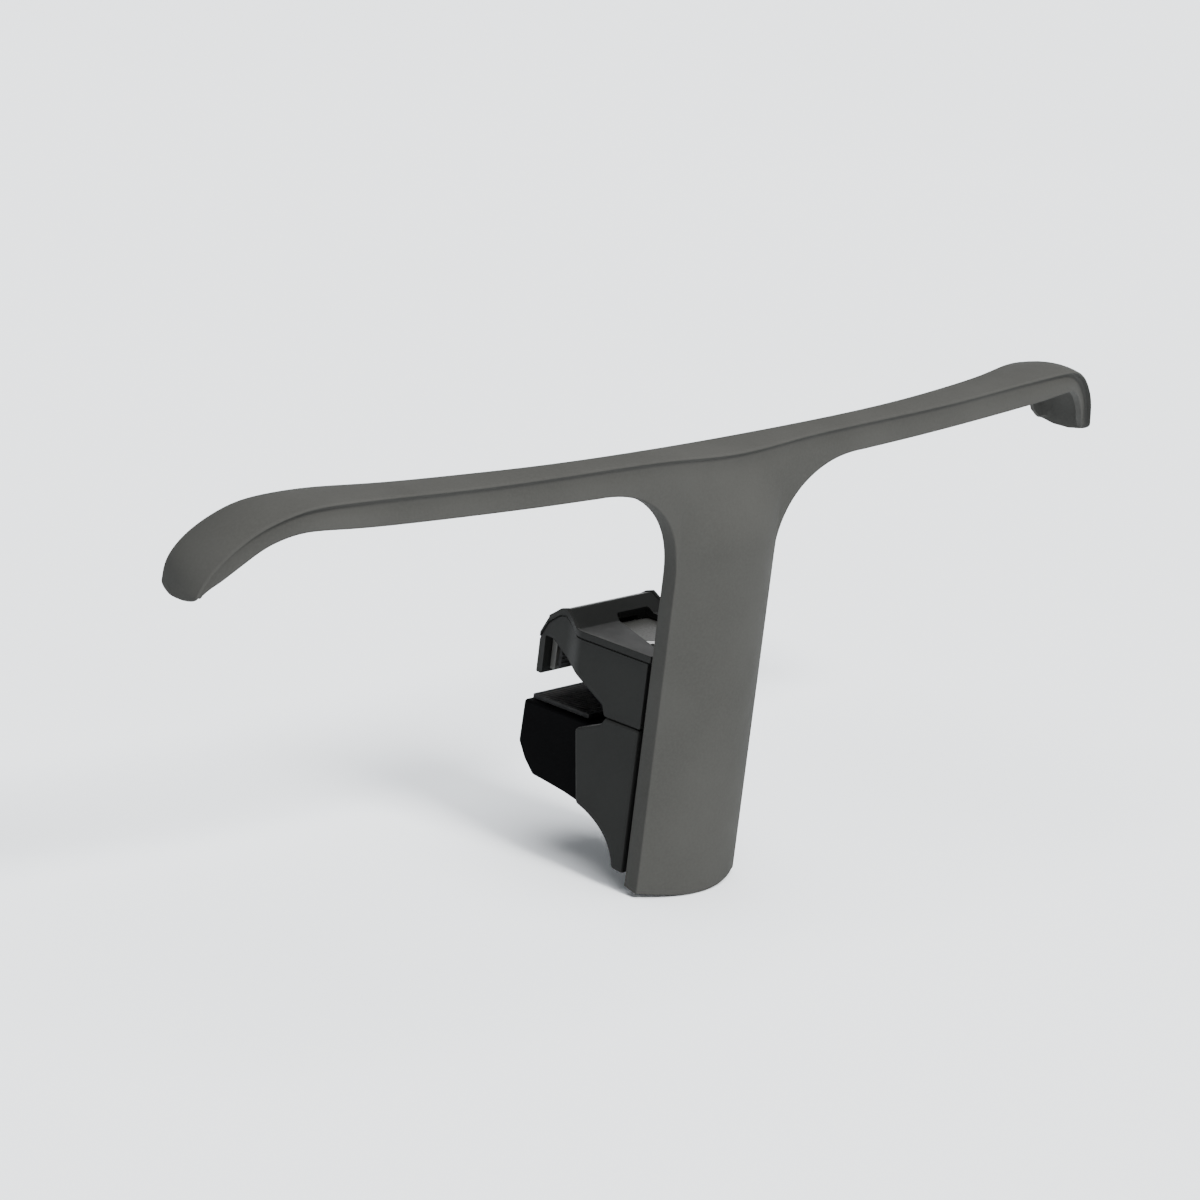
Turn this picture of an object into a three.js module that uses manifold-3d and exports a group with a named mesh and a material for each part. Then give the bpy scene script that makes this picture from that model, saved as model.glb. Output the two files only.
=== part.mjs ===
// Clamp-on coat hanger for the back of an office chair.
// Millimetres. +X is to the right seen from behind the chair, +Y points towards the seat and +Z runs
// up along the stem. The origin is the middle of the face that rests on the chair's top rail.
import * as THREE from 'three';
import { mergeVertices } from 'three/addons/utils/BufferGeometryUtils.js';
import Module from 'manifold-3d';

const wasm = await Module();
wasm.setup();

// ---- driving dimensions -------------------------------------------------------------------------
const WALL = 2.4;              // moulded walls of the hanger and of the shrouds
const GAP = 0.3;               // clearance between pieces that rest on each other
const HALF_WIDTH = 24;         // half the width of the stem and of the bracket

const STEM_FRONT = -42;        // the stem's front edge
const STEM_REAR = -47.4;       // rear edge of the stem's flat sides, and of the webs beside it
const STEM_BULGE = 7.5;        // how far the rear column swells behind the flat sides
const STEM_FOOT = -70.7;       // foot of the stem at its rear edge
const FOOT_SLOPE = 0.2;        // the foot is lower towards the rear
const BULGE_FULL = 42;         // the column keeps its full swell up to here
const BULGE_END = 69;          // and has faded into the arms here
const FILLET = { width: 41, height: 32, top: 64.4, power: 2.3 };

const COVER_THICK = 2;
const COVER_TOP = 56;
const COVER_FOOT = -67;
const COVER_HALF = 21.2;
const COVER_SINK = 1.3;        // depth of the countersinks for the cover's screws

const STEEL = 2.2;             // strap thickness of the core
const CORE_HALF = 17;
const CORE_BACK = STEM_FRONT + 0.1;
const CORE_TOP = 3.7;
const CORE_FOOT = -60;
const CORE_LIP = { front: 4.8, foot: -12 };
const BEND = 4;                // outer bend radius of the strap

const PLATE_TOP = 6;           // flat top of the upper shroud
const PLATE_UNDER = CORE_TOP + GAP;
const SHROUD_BACK = -40.4;
const SEAM = -18.1;            // seam between the two shrouds
const HUMP = { start: -9.9, crest: -3.1, top: 10.5, half: 21.5 };
const HUMP_BROW = [-0.5, 9.7];
const HUMP_HOLLOW = { half: 17, brow: [-1, 7.2], crest: 8 };
const NOSE = { front: 8, brow: 4.6, foot: -13.5, wall: 2.6 };
const SIDE_WALL = 2.2;         // side walls of the upper shroud over the rail
const RAIL = { y: 2, z: -0.6, slope: 0.54 };    // the chair rail's rear face, a slanted line
const WINDOW = { front: -7.3, back: -34.5, left: -14, leftFront: -1.6, right: 14 };
const FLOOR_RIB = { front: -8, back: -17, low: 1.9, high: 4 };   // heights above the rail's line
const SHROUD_BOSS = { radius: 3.4, top: 6.8, bore: 1.9, boreTop: 6.3 };
const LOWER_FOOT = -66.4;
const LOWER_WALL = { front: -37, top: -50 };    // wall of the lower shroud that its screws pull on

const JAW_HALF = 18.5;
const JAW_TOP = -24.3;
const JAW_BACK = -34.2;
const CARRIAGE_FOOT = -36.5;
const TOE_BACK = -17.4;
const JAW_WALL = 2.6;
const JAW_WEB_HALF = 1.2;
const PAD_HALF = 16;
const HOOK_PAD_HALF = 1.8;
const SADDLE_PAD = { front: -8, back: -16.8, low: 0.1, high: 1.6 };
const NOSE_PAD = { back: 1.1, foot: -11, top: -2.4 };
const JAW_PAD = { back: -13, front: 11, top: -22.5 };

const CLAMP = { x: 6.5, y: -28.4, radius: 2.4, head: 4.6, foot: -47.5, socket: 1.75, socketDeep: 2.4 };
const NUT = { radius: 4.62, top: -30.5, height: 4 };
const COLLAR = { radius: 4.2, height: 1.1 };
const SIDES = [['left', -1], ['right', 1]];

// Pan-head screws: radius and height of the head, radius and length of the shank.
const STEM_SCREW = { head: 3.8, tall: 2.3, radius: 1.95, long: 8.2, hole: 2.3, x: 13, z: [-12, -46] };
const COVER_SCREW = { head: 3, tall: 1.1, radius: 1.4, long: 6, hole: 1.8, sink: 3.3, z: [14, 46] };
const LOWER_SCREW = { head: 3.4, tall: 2.1, radius: 1.8, long: 4.2, hole: 2.1, x: 10, z: -55 };
const UPPER_SCREW = { head: 2.7, tall: 1.8, radius: 1.6, long: 4.6, hole: 2.1, x: 12, y: -5 };

// ---- materials ----------------------------------------------------------------------------------
function finish(color, roughness, metalness) {
  return new THREE.MeshStandardMaterial({ color, roughness, metalness });
}
const hangerPlastic = finish(0x6a6a67, 0.55, 0);
const shroudPlastic = finish(0x37393a, 0.45, 0);
const jawPlastic = finish(0x141415, 0.6, 0);
const rubber = finish(0x101010, 0.9, 0);
const steel = finish(0x9b9d9f, 0.35, 1);
const brass = finish(0xb08d4a, 0.35, 1);

// ---- solids from geometries ---------------------------------------------------------------------
// The solid inside a closed surface, whichever way round its triangles were listed.
function toSolid(geometry) {
  const bare = geometry.clone();
  bare.deleteAttribute('normal');
  bare.deleteAttribute('uv');
  const merged = mergeVertices(bare, 1e-4);
  const vertProperties = new Float32Array(merged.attributes.position.array);
  const triVerts = new Uint32Array(merged.index.array);
  const solid = new wasm.Manifold(new wasm.Mesh({ numProp: 3, vertProperties, triVerts }));
  if (solid.volume() > 0) return solid;
  triVerts.reverse();
  return new wasm.Manifold(new wasm.Mesh({ numProp: 3, vertProperties, triVerts }));
}

function toGeometry(solid) {
  const mesh = solid.getMesh();
  const geometry = new THREE.BufferGeometry();
  geometry.setAttribute('position', new THREE.BufferAttribute(new Float32Array(mesh.vertProperties), 3));
  geometry.setIndex(new THREE.BufferAttribute(new Uint32Array(mesh.triVerts), 1));
  geometry.computeVertexNormals();
  return geometry;
}

function extruded(points, depth) {
  const shape = new THREE.Shape(points.map(([a, b]) => new THREE.Vector2(a, b)));
  return new THREE.ExtrudeGeometry(shape, { depth, bevelEnabled: false });
}

// A prism from x0 to x1 on an outline of [y, z] points.
function prismX(points, x0, x1) {
  const turn = new THREE.Matrix4().set(0, 0, 1, x0, 1, 0, 0, 0, 0, 1, 0, 0, 0, 0, 0, 1);
  return toSolid(extruded(points, x1 - x0).applyMatrix4(turn));
}

// A prism from y0 to y1 on an outline of [x, z] points.
function prismY(points, y0, y1) {
  return toSolid(extruded(points, y1 - y0).rotateX(Math.PI / 2).translate(0, y1, 0));
}

// A prism from z0 to z1 on an outline of [x, y] points.
function prismZ(points, z0, z1) {
  return toSolid(extruded(points, z1 - z0).translate(0, 0, z0));
}

function box(x0, x1, y0, y1, z0, z1) {
  const geometry = new THREE.BoxGeometry(x1 - x0, y1 - y0, z1 - z0);
  return toSolid(geometry.translate((x0 + x1) / 2, (y0 + y1) / 2, (z0 + z1) / 2));
}

// A round bar along Y or Z, with its axis at (x, other).
function barY(radius, x, z, y0, y1, sides = 24) {
  const geometry = new THREE.CylinderGeometry(radius, radius, y1 - y0, sides);
  return toSolid(geometry.translate(x, (y0 + y1) / 2, z));
}

function barZ(radius, x, y, z0, z1, sides = 24) {
  const geometry = new THREE.CylinderGeometry(radius, radius, z1 - z0, sides)
    .rotateX(Math.PI / 2)
    .rotateZ(Math.PI / 2);
  return toSolid(geometry.translate(x, y, (z0 + z1) / 2));
}

// A closed loft through rings that all have the same number of points, each ring convex.
function loft(rings) {
  const size = rings[0].length;
  const positions = rings.flat().flatMap((p) => [p.x, p.y, p.z]);
  const index = [];
  for (let r = 0; r + 1 < rings.length; r += 1) {
    for (let i = 0; i < size; i += 1) {
      const a = r * size + i;
      const b = r * size + ((i + 1) % size);
      index.push(a, b, b + size, a, b + size, a + size);
    }
  }
  const last = (rings.length - 1) * size;
  for (let i = 1; i + 1 < size; i += 1) {
    index.push(0, i + 1, i, last, last + i, last + i + 1);
  }
  const geometry = new THREE.BufferGeometry();
  geometry.setAttribute('position', new THREE.Float32BufferAttribute(positions, 3));
  geometry.setIndex(index);
  return toSolid(geometry);
}

// ---- hanger: arms -------------------------------------------------------------------------------
// Stations along one arm: the sharp rear crease and the front edge of the arm's top, how deep the
// rear and front walls hang below them, and how far the top swells between them.
const ARM_STATIONS = [
  { crease: [0, -47.8, 71.7], front: [0, -35.7, 73.3], rearWall: 11.1, frontWall: 6.5, crown: 0.4 },
  { crease: [30, -47.7, 73.1], front: [30, -37.6, 74.2], rearWall: 10.3, frontWall: 6.5, crown: 0.4 },
  { crease: [60, -47.4, 74], front: [60, -38.4, 75], rearWall: 9.8, frontWall: 6.5, crown: 0.4 },
  { crease: [88, -46.7, 74.3], front: [88, -37.2, 75.4], rearWall: 9.5, frontWall: 6.5, crown: 0.5 },
  { crease: [112, -45.9, 74.7], front: [112, -34.6, 75.6], rearWall: 9.2, frontWall: 6.5, crown: 0.5 },
  { crease: [134, -44.8, 75.3], front: [134, -30.8, 75.4], rearWall: 9.1, frontWall: 6.5, crown: 0.6 },
  { crease: [154, -43.8, 76], front: [152, -27, 75.3], rearWall: 9, frontWall: 6.6, crown: 0.8 },
  { crease: [170, -43.2, 76.5], front: [167, -22.9, 75.1], rearWall: 8.5, frontWall: 7, crown: 1.1 },
  { crease: [182, -42.2, 76.3], front: [179, -19.3, 74], rearWall: 7.7, frontWall: 7.8, crown: 1.5 },
  { crease: [190, -40.3, 74.5], front: [189, -17.1, 72.5], rearWall: 7, frontWall: 8.6, crown: 1.8 },
  { crease: [198, -37.6, 70.9], front: [196.3, -15.6, 70], rearWall: 6.8, frontWall: 9.3, crown: 2 },
  { crease: [205, -35.1, 65.9], front: [204, -13.7, 65.4], rearWall: 6.9, frontWall: 9.4, crown: 2 },
  { crease: [210.4, -33, 60.4], front: [209.6, -12.6, 60.3], rearWall: 6.5, frontWall: 9, crown: 1.8 },
  { crease: [214, -31.3, 54.8], front: [212.2, -12.1, 55.2], rearWall: 5.3, frontWall: 8.2, crown: 1.5 },
  { crease: [215.6, -30.5, 50.9], front: [212.6, -12, 51.2], rearWall: 3.6, frontWall: 7.2, crown: 1.2 },
];
const TONGUE_ROUND = 3.2;      // how far the rounded end reaches past the last station
const TONGUE_STEPS = 5;
const CROWN_AT = [0.15, 0.35, 0.5, 0.65, 0.85];   // where the swell is measured across the top

function armStations() {
  const stations = ARM_STATIONS.map((s) => ({
    crease: new THREE.Vector3(...s.crease),
    front: new THREE.Vector3(...s.front),
    rearWall: s.rearWall,
    frontWall: s.frontWall,
    crown: s.crown,
  }));
  const last = stations.at(-1);
  const before = stations.at(-2);
  const ahead = last.crease.clone().add(last.front).sub(before.crease).sub(before.front).normalize();
  const middle = last.crease.clone().add(last.front).multiplyScalar(0.5);
  for (let i = 1; i <= TONGUE_STEPS; i += 1) {
    const turn = (i / TONGUE_STEPS) * Math.PI / 2;
    const centre = middle.clone().addScaledVector(ahead, TONGUE_ROUND * Math.sin(turn));
    const shrink = Math.max(Math.cos(turn), 0.3);
    stations.push({
      crease: centre.clone().add(last.crease.clone().sub(middle).multiplyScalar(shrink)),
      front: centre.clone().add(last.front.clone().sub(middle).multiplyScalar(shrink)),
      rearWall: last.rearWall,
      frontWall: last.frontWall,
      crown: last.crown * shrink,
    });
  }
  return stations;
}

// The unit vector into the arm at each station, square to the arm's run and with no Y part.
function inwardAt(stations, i) {
  const a = stations[Math.max(i - 1, 0)];
  const b = stations[Math.min(i + 1, stations.length - 1)];
  const run = b.crease.clone().add(b.front).sub(a.crease).sub(a.front);
  if (i === 0) run.z = 0;
  return new THREE.Vector3(run.z, 0, -run.x).normalize();
}

function armRings(inset) {
  const stations = armStations();
  const kept = inset > 0 ? stations.slice(0, -2) : stations;
  const rings = kept.map((s, i) => {
    const inward = inwardAt(stations, i);
    const across = s.front.clone().sub(s.crease).normalize();
    const point = (base, side, depth) =>
      base.clone().addScaledVector(across, side * inset).addScaledVector(inward, depth);
    const extra = inset > 0 ? WALL : 0;
    const crowned = CROWN_AT.map((t) =>
      point(s.crease.clone().lerp(s.front, t), 0, inset - 4 * s.crown * t * (1 - t)));
    return [
      point(s.crease, 1, inset),
      ...crowned,
      point(s.front, -1, inset),
      point(s.front, -1, s.frontWall + extra),
      point(s.crease, 1, s.rearWall + extra),
    ];
  });
  const mirrored = rings.slice(1).reverse().map((ring) => ring.map((p) => new THREE.Vector3(-p.x, p.y, p.z)));
  return [...mirrored, ...rings];
}

// ---- hanger: stem and webs ----------------------------------------------------------------------
// Outline of the stem and of the two fillet webs, moved into the material by inset.
function stemOutline(inset) {
  const centreX = HALF_WIDTH + FILLET.width;
  const centreZ = FILLET.top - FILLET.height;
  const steps = 12;
  const right = [];
  for (let i = 0; i <= steps; i += 1) {
    const turn = (i / steps) * Math.PI / 2;
    const x = centreX - (FILLET.width + inset) * Math.cos(turn) ** (2 / FILLET.power);
    const z = centreZ + (FILLET.height + inset) * Math.sin(turn) ** (2 / FILLET.power);
    right.push([x, z]);
  }
  const roof = FILLET.top + inset + 2;
  const half = [[HALF_WIDTH - inset, STEM_FOOT + inset], ...right, [centreX, roof]];
  return [...half, ...half.map(([x, z]) => [-x, z]).reverse()];
}

function bulgeAt(z) {
  const t = THREE.MathUtils.clamp((z - BULGE_FULL) / (BULGE_END - BULGE_FULL), 0, 1);
  return STEM_BULGE * (1 - t * t * (3 - 2 * t));
}

// Rear column of the stem: a lens-shaped section whose swell fades towards the arms.
function columnLoft(inset, foot, roof) {
  const levels = [foot, BULGE_FULL];
  for (let z = BULGE_FULL + 4; z < roof; z += 4) {
    levels.push(z);
  }
  levels.push(roof);
  const steps = 14;
  const half = HALF_WIDTH - inset;
  const rings = levels.map((z) => {
    const ring = [];
    for (let i = 0; i <= steps; i += 1) {
      const x = -half + (2 * half * i) / steps;
      const y = STEM_REAR + inset - bulgeAt(z) * (1 - (x / half) ** 2);
      ring.push([x, y]);
    }
    ring.push([half, STEM_REAR + inset + 1], [-half, STEM_REAR + inset + 1]);
    return ring.map(([x, y]) => {
      const drop = z === foot ? FOOT_SLOPE * (y - STEM_REAR) : 0;
      return new THREE.Vector3(x, y, z + drop);
    });
  });
  return loft(rings);
}

function stemScrewPlaces() {
  return STEM_SCREW.z.flatMap((z) => [[-STEM_SCREW.x, z], [STEM_SCREW.x, z]]);
}

const INSERT = { radius: 2.9, bore: 2.1, back: -49.2, front: -44.7 };
const BOSS = { radius: 4.3, back: -50.5, front: -44.5 };
const COVER_BOSS = { radius: 3.6, back: -53.2, bore: 1.6 };
const COVER_BACK = STEM_FRONT - 0.2 - COVER_THICK;

function hangerFrame() {
  let frame = loft(armRings(0))
    .add(prismY(stemOutline(0), STEM_REAR, STEM_FRONT))
    .add(columnLoft(0, STEM_FOOT, BULGE_END));
  frame = frame
    .subtract(loft(armRings(WALL)))
    .subtract(prismY(stemOutline(WALL), STEM_REAR + WALL, STEM_FRONT + 1))
    .subtract(columnLoft(WALL, STEM_FOOT + WALL, FILLET.top - 4));
  for (const [x, z] of stemScrewPlaces()) {
    frame = frame.add(barY(BOSS.radius, x, z, BOSS.back, BOSS.front));
    frame = frame.subtract(barY(INSERT.radius + 0.1, x, z, INSERT.back - GAP, BOSS.front + 1));
  }
  for (const z of COVER_SCREW.z) {
    frame = frame.add(barY(COVER_BOSS.radius, 0, z, COVER_BOSS.back, BOSS.front));
    frame = frame.subtract(barY(COVER_BOSS.bore, 0, z, COVER_BOSS.back + 1, BOSS.front + 1));
  }
  return frame;
}

function stemFrontCover() {
  let cover = box(-COVER_HALF, COVER_HALF, COVER_BACK, COVER_BACK + COVER_THICK, COVER_FOOT, COVER_TOP);
  for (const [x, z] of stemScrewPlaces()) {
    cover = cover.subtract(barY(STEM_SCREW.hole + 0.1, x, z, COVER_BACK - 1, STEM_FRONT + 1));
  }
  for (const z of COVER_SCREW.z) {
    cover = cover.subtract(barY(COVER_SCREW.hole, 0, z, COVER_BACK - 1, STEM_FRONT + 1));
    cover = cover.subtract(barY(COVER_SCREW.sink, 0, z, COVER_BACK + COVER_THICK - COVER_SINK, STEM_FRONT + 1));
  }
  return cover;
}

// ---- steel core ---------------------------------------------------------------------------------
// Points of a quarter arc from angle a to b (degrees) about [y, z].
function arc(y, z, radius, a, b, steps = 5) {
  const points = [];
  for (let i = 0; i <= steps; i += 1) {
    const turn = THREE.MathUtils.degToRad(a + ((b - a) * i) / steps);
    points.push([y + radius * Math.cos(turn), z + radius * Math.sin(turn)]);
  }
  return points;
}

function steelCore() {
  const inner = BEND - STEEL;
  const backY = CORE_BACK + BEND;
  const lipY = CORE_LIP.front - BEND;
  const topZ = CORE_TOP - BEND;
  const outline = [
    [CORE_BACK, CORE_FOOT],
    [CORE_BACK + STEEL, CORE_FOOT],
    ...arc(backY, topZ, inner, 180, 90),
    ...arc(lipY, topZ, inner, 90, 0),
    [CORE_LIP.front - STEEL, CORE_LIP.foot],
    [CORE_LIP.front, CORE_LIP.foot],
    ...arc(lipY, topZ, BEND, 0, 90),
    ...arc(backY, topZ, BEND, 90, 180),
  ];
  let core = prismX(outline, -CORE_HALF, CORE_HALF);
  for (const [x, z] of stemScrewPlaces()) {
    core = core.subtract(barY(STEM_SCREW.hole, x, z, CORE_BACK - 1, CORE_BACK + STEEL + 1));
  }
  for (const [, sign] of SIDES) {
    const lowerX = sign * LOWER_SCREW.x;
    core = core.subtract(barY(LOWER_SCREW.hole, lowerX, LOWER_SCREW.z, CORE_BACK - 1, CORE_BACK + STEEL + 1));
    core = core.subtract(barZ(UPPER_SCREW.hole, sign * UPPER_SCREW.x, UPPER_SCREW.y, 0, CORE_TOP + 1));
    const seat = new THREE.CylinderGeometry(CLAMP.head + 0.5, CLAMP.radius + 0.3, STEEL + 0.02, 24)
      .rotateX(Math.PI / 2)
      .translate(sign * CLAMP.x, CLAMP.y, CORE_TOP - STEEL / 2);
    core = core.subtract(toSolid(seat));
  }
  return core;
}

// ---- shrouds ------------------------------------------------------------------------------------
function railZ(y) {
  return RAIL.z + (y - RAIL.y) * RAIL.slope;
}

function bracketUpper() {
  const noseBack = NOSE.front - NOSE.wall;
  const side = [
    [SHROUD_BACK, SEAM],
    [-26, SEAM],
    [-24, railZ(-24)],
    [RAIL.y, RAIL.z],
    [noseBack, RAIL.z],
    [noseBack, NOSE.foot],
    [NOSE.front, NOSE.foot],
    [NOSE.front, 0],
    [NOSE.brow, PLATE_TOP],
    HUMP_BROW,
    [HUMP.crest, HUMP.top],
    [HUMP.start, PLATE_TOP],
    [SHROUD_BACK - 1.2, PLATE_TOP],
    [SHROUD_BACK - 1.2, PLATE_UNDER],
    [SHROUD_BACK, PLATE_UNDER],
  ];
  const plan = [
    [-HALF_WIDTH, STEM_FRONT],
    [HALF_WIDTH, STEM_FRONT],
    [HALF_WIDTH, HUMP.start],
    [HUMP.half, HUMP.crest + 2],
    [HUMP.half - 1.5, NOSE.front + 1],
    [1.5 - HUMP.half, NOSE.front + 1],
    [-HUMP.half, HUMP.crest + 2],
    [-HALF_WIDTH, HUMP.start],
  ];
  const inside = [
    [STEM_FRONT, SEAM - 1],
    [noseBack, SEAM - 1],
    [noseBack, PLATE_UNDER],
    [STEM_FRONT, PLATE_UNDER],
  ];
  const humpHollow = [
    [HUMP.start + 2, PLATE_UNDER - 1],
    [NOSE.brow - 1, PLATE_UNDER - 1],
    [NOSE.brow - 1.6, PLATE_UNDER],
    HUMP_HOLLOW.brow,
    [HUMP.crest - 0.5, HUMP_HOLLOW.crest],
    [HUMP.start + 2, PLATE_UNDER + 1],
  ];
  const floor = [
    [FLOOR_RIB.front, railZ(FLOOR_RIB.front) + FLOOR_RIB.low],
    [FLOOR_RIB.back, railZ(FLOOR_RIB.back) + FLOOR_RIB.low],
    [FLOOR_RIB.back, railZ(FLOOR_RIB.back) + FLOOR_RIB.high],
    [FLOOR_RIB.front, railZ(FLOOR_RIB.front) + FLOOR_RIB.high],
  ];
  const window = [
    [WINDOW.left, WINDOW.back],
    [WINDOW.right, WINDOW.back],
    [WINDOW.right, WINDOW.front],
    [WINDOW.leftFront, WINDOW.front],
  ];
  let shroud = prismX(side, -HALF_WIDTH, HALF_WIDTH)
    .intersect(prismZ(plan, -40, 20))
    .subtract(prismX(inside, SIDE_WALL - HUMP.half, HUMP.half - SIDE_WALL))
    .subtract(prismX(humpHollow, -HUMP_HOLLOW.half, HUMP_HOLLOW.half))
    .add(prismX(floor, WALL - HALF_WIDTH, HALF_WIDTH - WALL));
  for (const [, sign] of SIDES) {
    const x = sign * UPPER_SCREW.x;
    const boss = barZ(SHROUD_BOSS.radius, x, UPPER_SCREW.y, PLATE_UNDER, SHROUD_BOSS.top);
    shroud = shroud.add(boss).subtract(barZ(SHROUD_BOSS.bore, x, UPPER_SCREW.y, 0, SHROUD_BOSS.boreTop));
  }
  return shroud.subtract(prismZ(window, PLATE_UNDER - 1, HUMP.top + 1));
}

// Corbel curve of the lower shroud, from its front edge in to the stem's foot.
function corbel(inset, steps = 10) {
  const start = new THREE.Vector2(-18, -49.4);
  const pull = new THREE.Vector2(-33.6, -53.9);
  const end = new THREE.Vector2(-35.5, -65.8);
  const curve = new THREE.QuadraticBezierCurve(start, pull, end);
  const points = [];
  for (let i = 0; i <= steps; i += 1) {
    const at = curve.getPoint(i / steps);
    const along = curve.getTangent(i / steps);
    points.push([at.x + along.y * inset, at.y - along.x * inset]);
  }
  return points;
}

function bracketLower() {
  const insideFoot = LOWER_FOOT + WALL;
  const side = [
    [SHROUD_BACK, SEAM - GAP],
    [SHROUD_BACK, LOWER_FOOT],
    ...corbel(0).reverse(),
    [-14.2, -25.3],
    [-24.3, -21],
    [-26, SEAM - GAP],
  ];
  const inside = [
    [STEM_FRONT, -10],
    [STEM_FRONT, insideFoot],
    [-38, insideFoot],
    ...corbel(WALL).reverse().filter(([, z]) => z > insideFoot),
    [-10, -46],
    [-10, -10],
  ];
  const half = HALF_WIDTH - WALL;
  const wallBack = CORE_BACK + STEEL + GAP;
  const wall = box(-half - 0.5, half + 0.5, wallBack, LOWER_WALL.front, LOWER_FOOT + 1, LOWER_WALL.top);
  let shroud = prismX(side, -HALF_WIDTH, HALF_WIDTH).subtract(prismX(inside, -half, half)).add(wall);
  for (const [, sign] of SIDES) {
    const hole = barY(LOWER_SCREW.hole, sign * LOWER_SCREW.x, LOWER_SCREW.z, wallBack - 1, LOWER_WALL.front + 1);
    shroud = shroud.subtract(hole);
  }
  return shroud;
}

// ---- jaw ----------------------------------------------------------------------------------------
function clampJaw() {
  const side = [
    [JAW_BACK, JAW_TOP],
    [JAW_BACK, CARRIAGE_FOOT],
    [TOE_BACK, CARRIAGE_FOOT],
    [TOE_BACK, -50.4],
    [-14.1, -51.2],
    [-7.9, -49.9],
    [-0.3, -48.9],
    [5.9, -48.2],
    [10, -43.9],
    [13.1, -38.7],
    [12.6, JAW_TOP],
  ];
  const hollow = [
    [TOE_BACK + JAW_WALL, -28],
    [TOE_BACK + JAW_WALL, -60],
    [8, -60],
    [8, -44],
    [10.2, -38],
    [10, -28],
  ];
  let jaw = prismX(side, -JAW_HALF, JAW_HALF)
    .subtract(prismX(hollow, JAW_WALL - JAW_HALF, -JAW_WEB_HALF))
    .subtract(prismX(hollow, JAW_WEB_HALF, JAW_HALF - JAW_WALL));
  for (const [, sign] of SIDES) {
    const x = sign * CLAMP.x;
    const pocket = barZ(NUT.radius + GAP, x, CLAMP.y, CARRIAGE_FOOT - 1, NUT.top + GAP, 6);
    const bore = barZ(CLAMP.radius + 0.4, x, CLAMP.y, CARRIAGE_FOOT - 1, JAW_TOP + 1);
    jaw = jaw.subtract(pocket).subtract(bore);
  }
  return jaw;
}

function clampNut(x) {
  return barZ(NUT.radius, x, CLAMP.y, NUT.top - NUT.height, NUT.top, 6)
    .subtract(barZ(CLAMP.radius + 0.1, x, CLAMP.y, NUT.top - NUT.height - 1, NUT.top + 1));
}

// ---- screws -------------------------------------------------------------------------------------
// A screw turned on the Z axis, head on top, from [radius, z] points; the socket is a hexagon.
function turnedScrew(profile, socketRadius, socketTop, socketDeep) {
  const points = profile.map(([r, z]) => new THREE.Vector2(r, z));
  const body = new THREE.LatheGeometry(points, 24).rotateX(Math.PI / 2);
  const socket = new THREE.CylinderGeometry(socketRadius, socketRadius, socketDeep + 1, 6)
    .rotateX(Math.PI / 2)
    .translate(0, 0, socketTop + 0.5 - socketDeep / 2);
  return toSolid(body).subtract(toSolid(socket));
}

function panHead({ head, tall, radius, long }) {
  const profile = [
    [0, -long],
    [radius - 0.4, -long],
    [radius, 0.5 - long],
    [radius, 0],
    [head, 0],
    [head, tall * 0.45],
    [head * 0.72, tall * 0.9],
    [head * 0.5, tall],
    [0, tall],
  ];
  return turnedScrew(profile, radius * 0.68, tall, tall * 0.7);
}

function clampScrew() {
  const long = CORE_TOP - CLAMP.foot;
  const profile = [
    [0, -long],
    [CLAMP.radius - 0.7, -long],
    [CLAMP.radius, 1 - long],
    [CLAMP.radius, -STEEL],
    [CLAMP.head, -0.2],
    [CLAMP.head, 0],
    [0, 0],
  ];
  return turnedScrew(profile, CLAMP.socket, 0, CLAMP.socketDeep);
}

function ring(outer, inner, x, y, z0, z1) {
  return barZ(outer, x, y, z0, z1).subtract(barZ(inner, x, y, z0 - 1, z1 + 1));
}

// ---- assembly -----------------------------------------------------------------------------------
const hanger = new THREE.Group();

function addPiece(name, solid, material, parent = hanger) {
  const mesh = new THREE.Mesh(toGeometry(solid), material);
  mesh.name = name;
  parent.add(mesh);
  return mesh;
}

addPiece('hanger_frame', hangerFrame(), hangerPlastic);
addPiece('stem_front_cover', stemFrontCover(), hangerPlastic);
addPiece('steel_core', steelCore(), steel);
addPiece('bracket_upper', bracketUpper(), shroudPlastic);
addPiece('bracket_lower', bracketLower(), shroudPlastic);

// Pads against the chair rail.
const saddlePad = [
  [SADDLE_PAD.back, railZ(SADDLE_PAD.back) + SADDLE_PAD.low],
  [SADDLE_PAD.back, railZ(SADDLE_PAD.back) + SADDLE_PAD.high],
  [SADDLE_PAD.front, railZ(SADDLE_PAD.front) + SADDLE_PAD.high],
  [SADDLE_PAD.front, railZ(SADDLE_PAD.front) + SADDLE_PAD.low],
];
const hookUnder = CORE_TOP - STEEL - GAP;
const lipBack = CORE_LIP.front - STEEL - GAP;
const hookPad = box(-PAD_HALF, PAD_HALF, -HOOK_PAD_HALF, HOOK_PAD_HALF, 0, hookUnder);
const nosePad = box(-PAD_HALF, PAD_HALF, NOSE_PAD.back, lipBack, NOSE_PAD.foot, NOSE_PAD.top);
const jawPad = box(-PAD_HALF, PAD_HALF, JAW_PAD.back, JAW_PAD.front, JAW_TOP + GAP, JAW_PAD.top);
addPiece('hook_top_pad', hookPad, rubber);
addPiece('saddle_pad', prismX(saddlePad, -PAD_HALF, PAD_HALF), rubber);
addPiece('nose_pad', nosePad, rubber);
addPiece('jaw_pad', jawPad, rubber);

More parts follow.
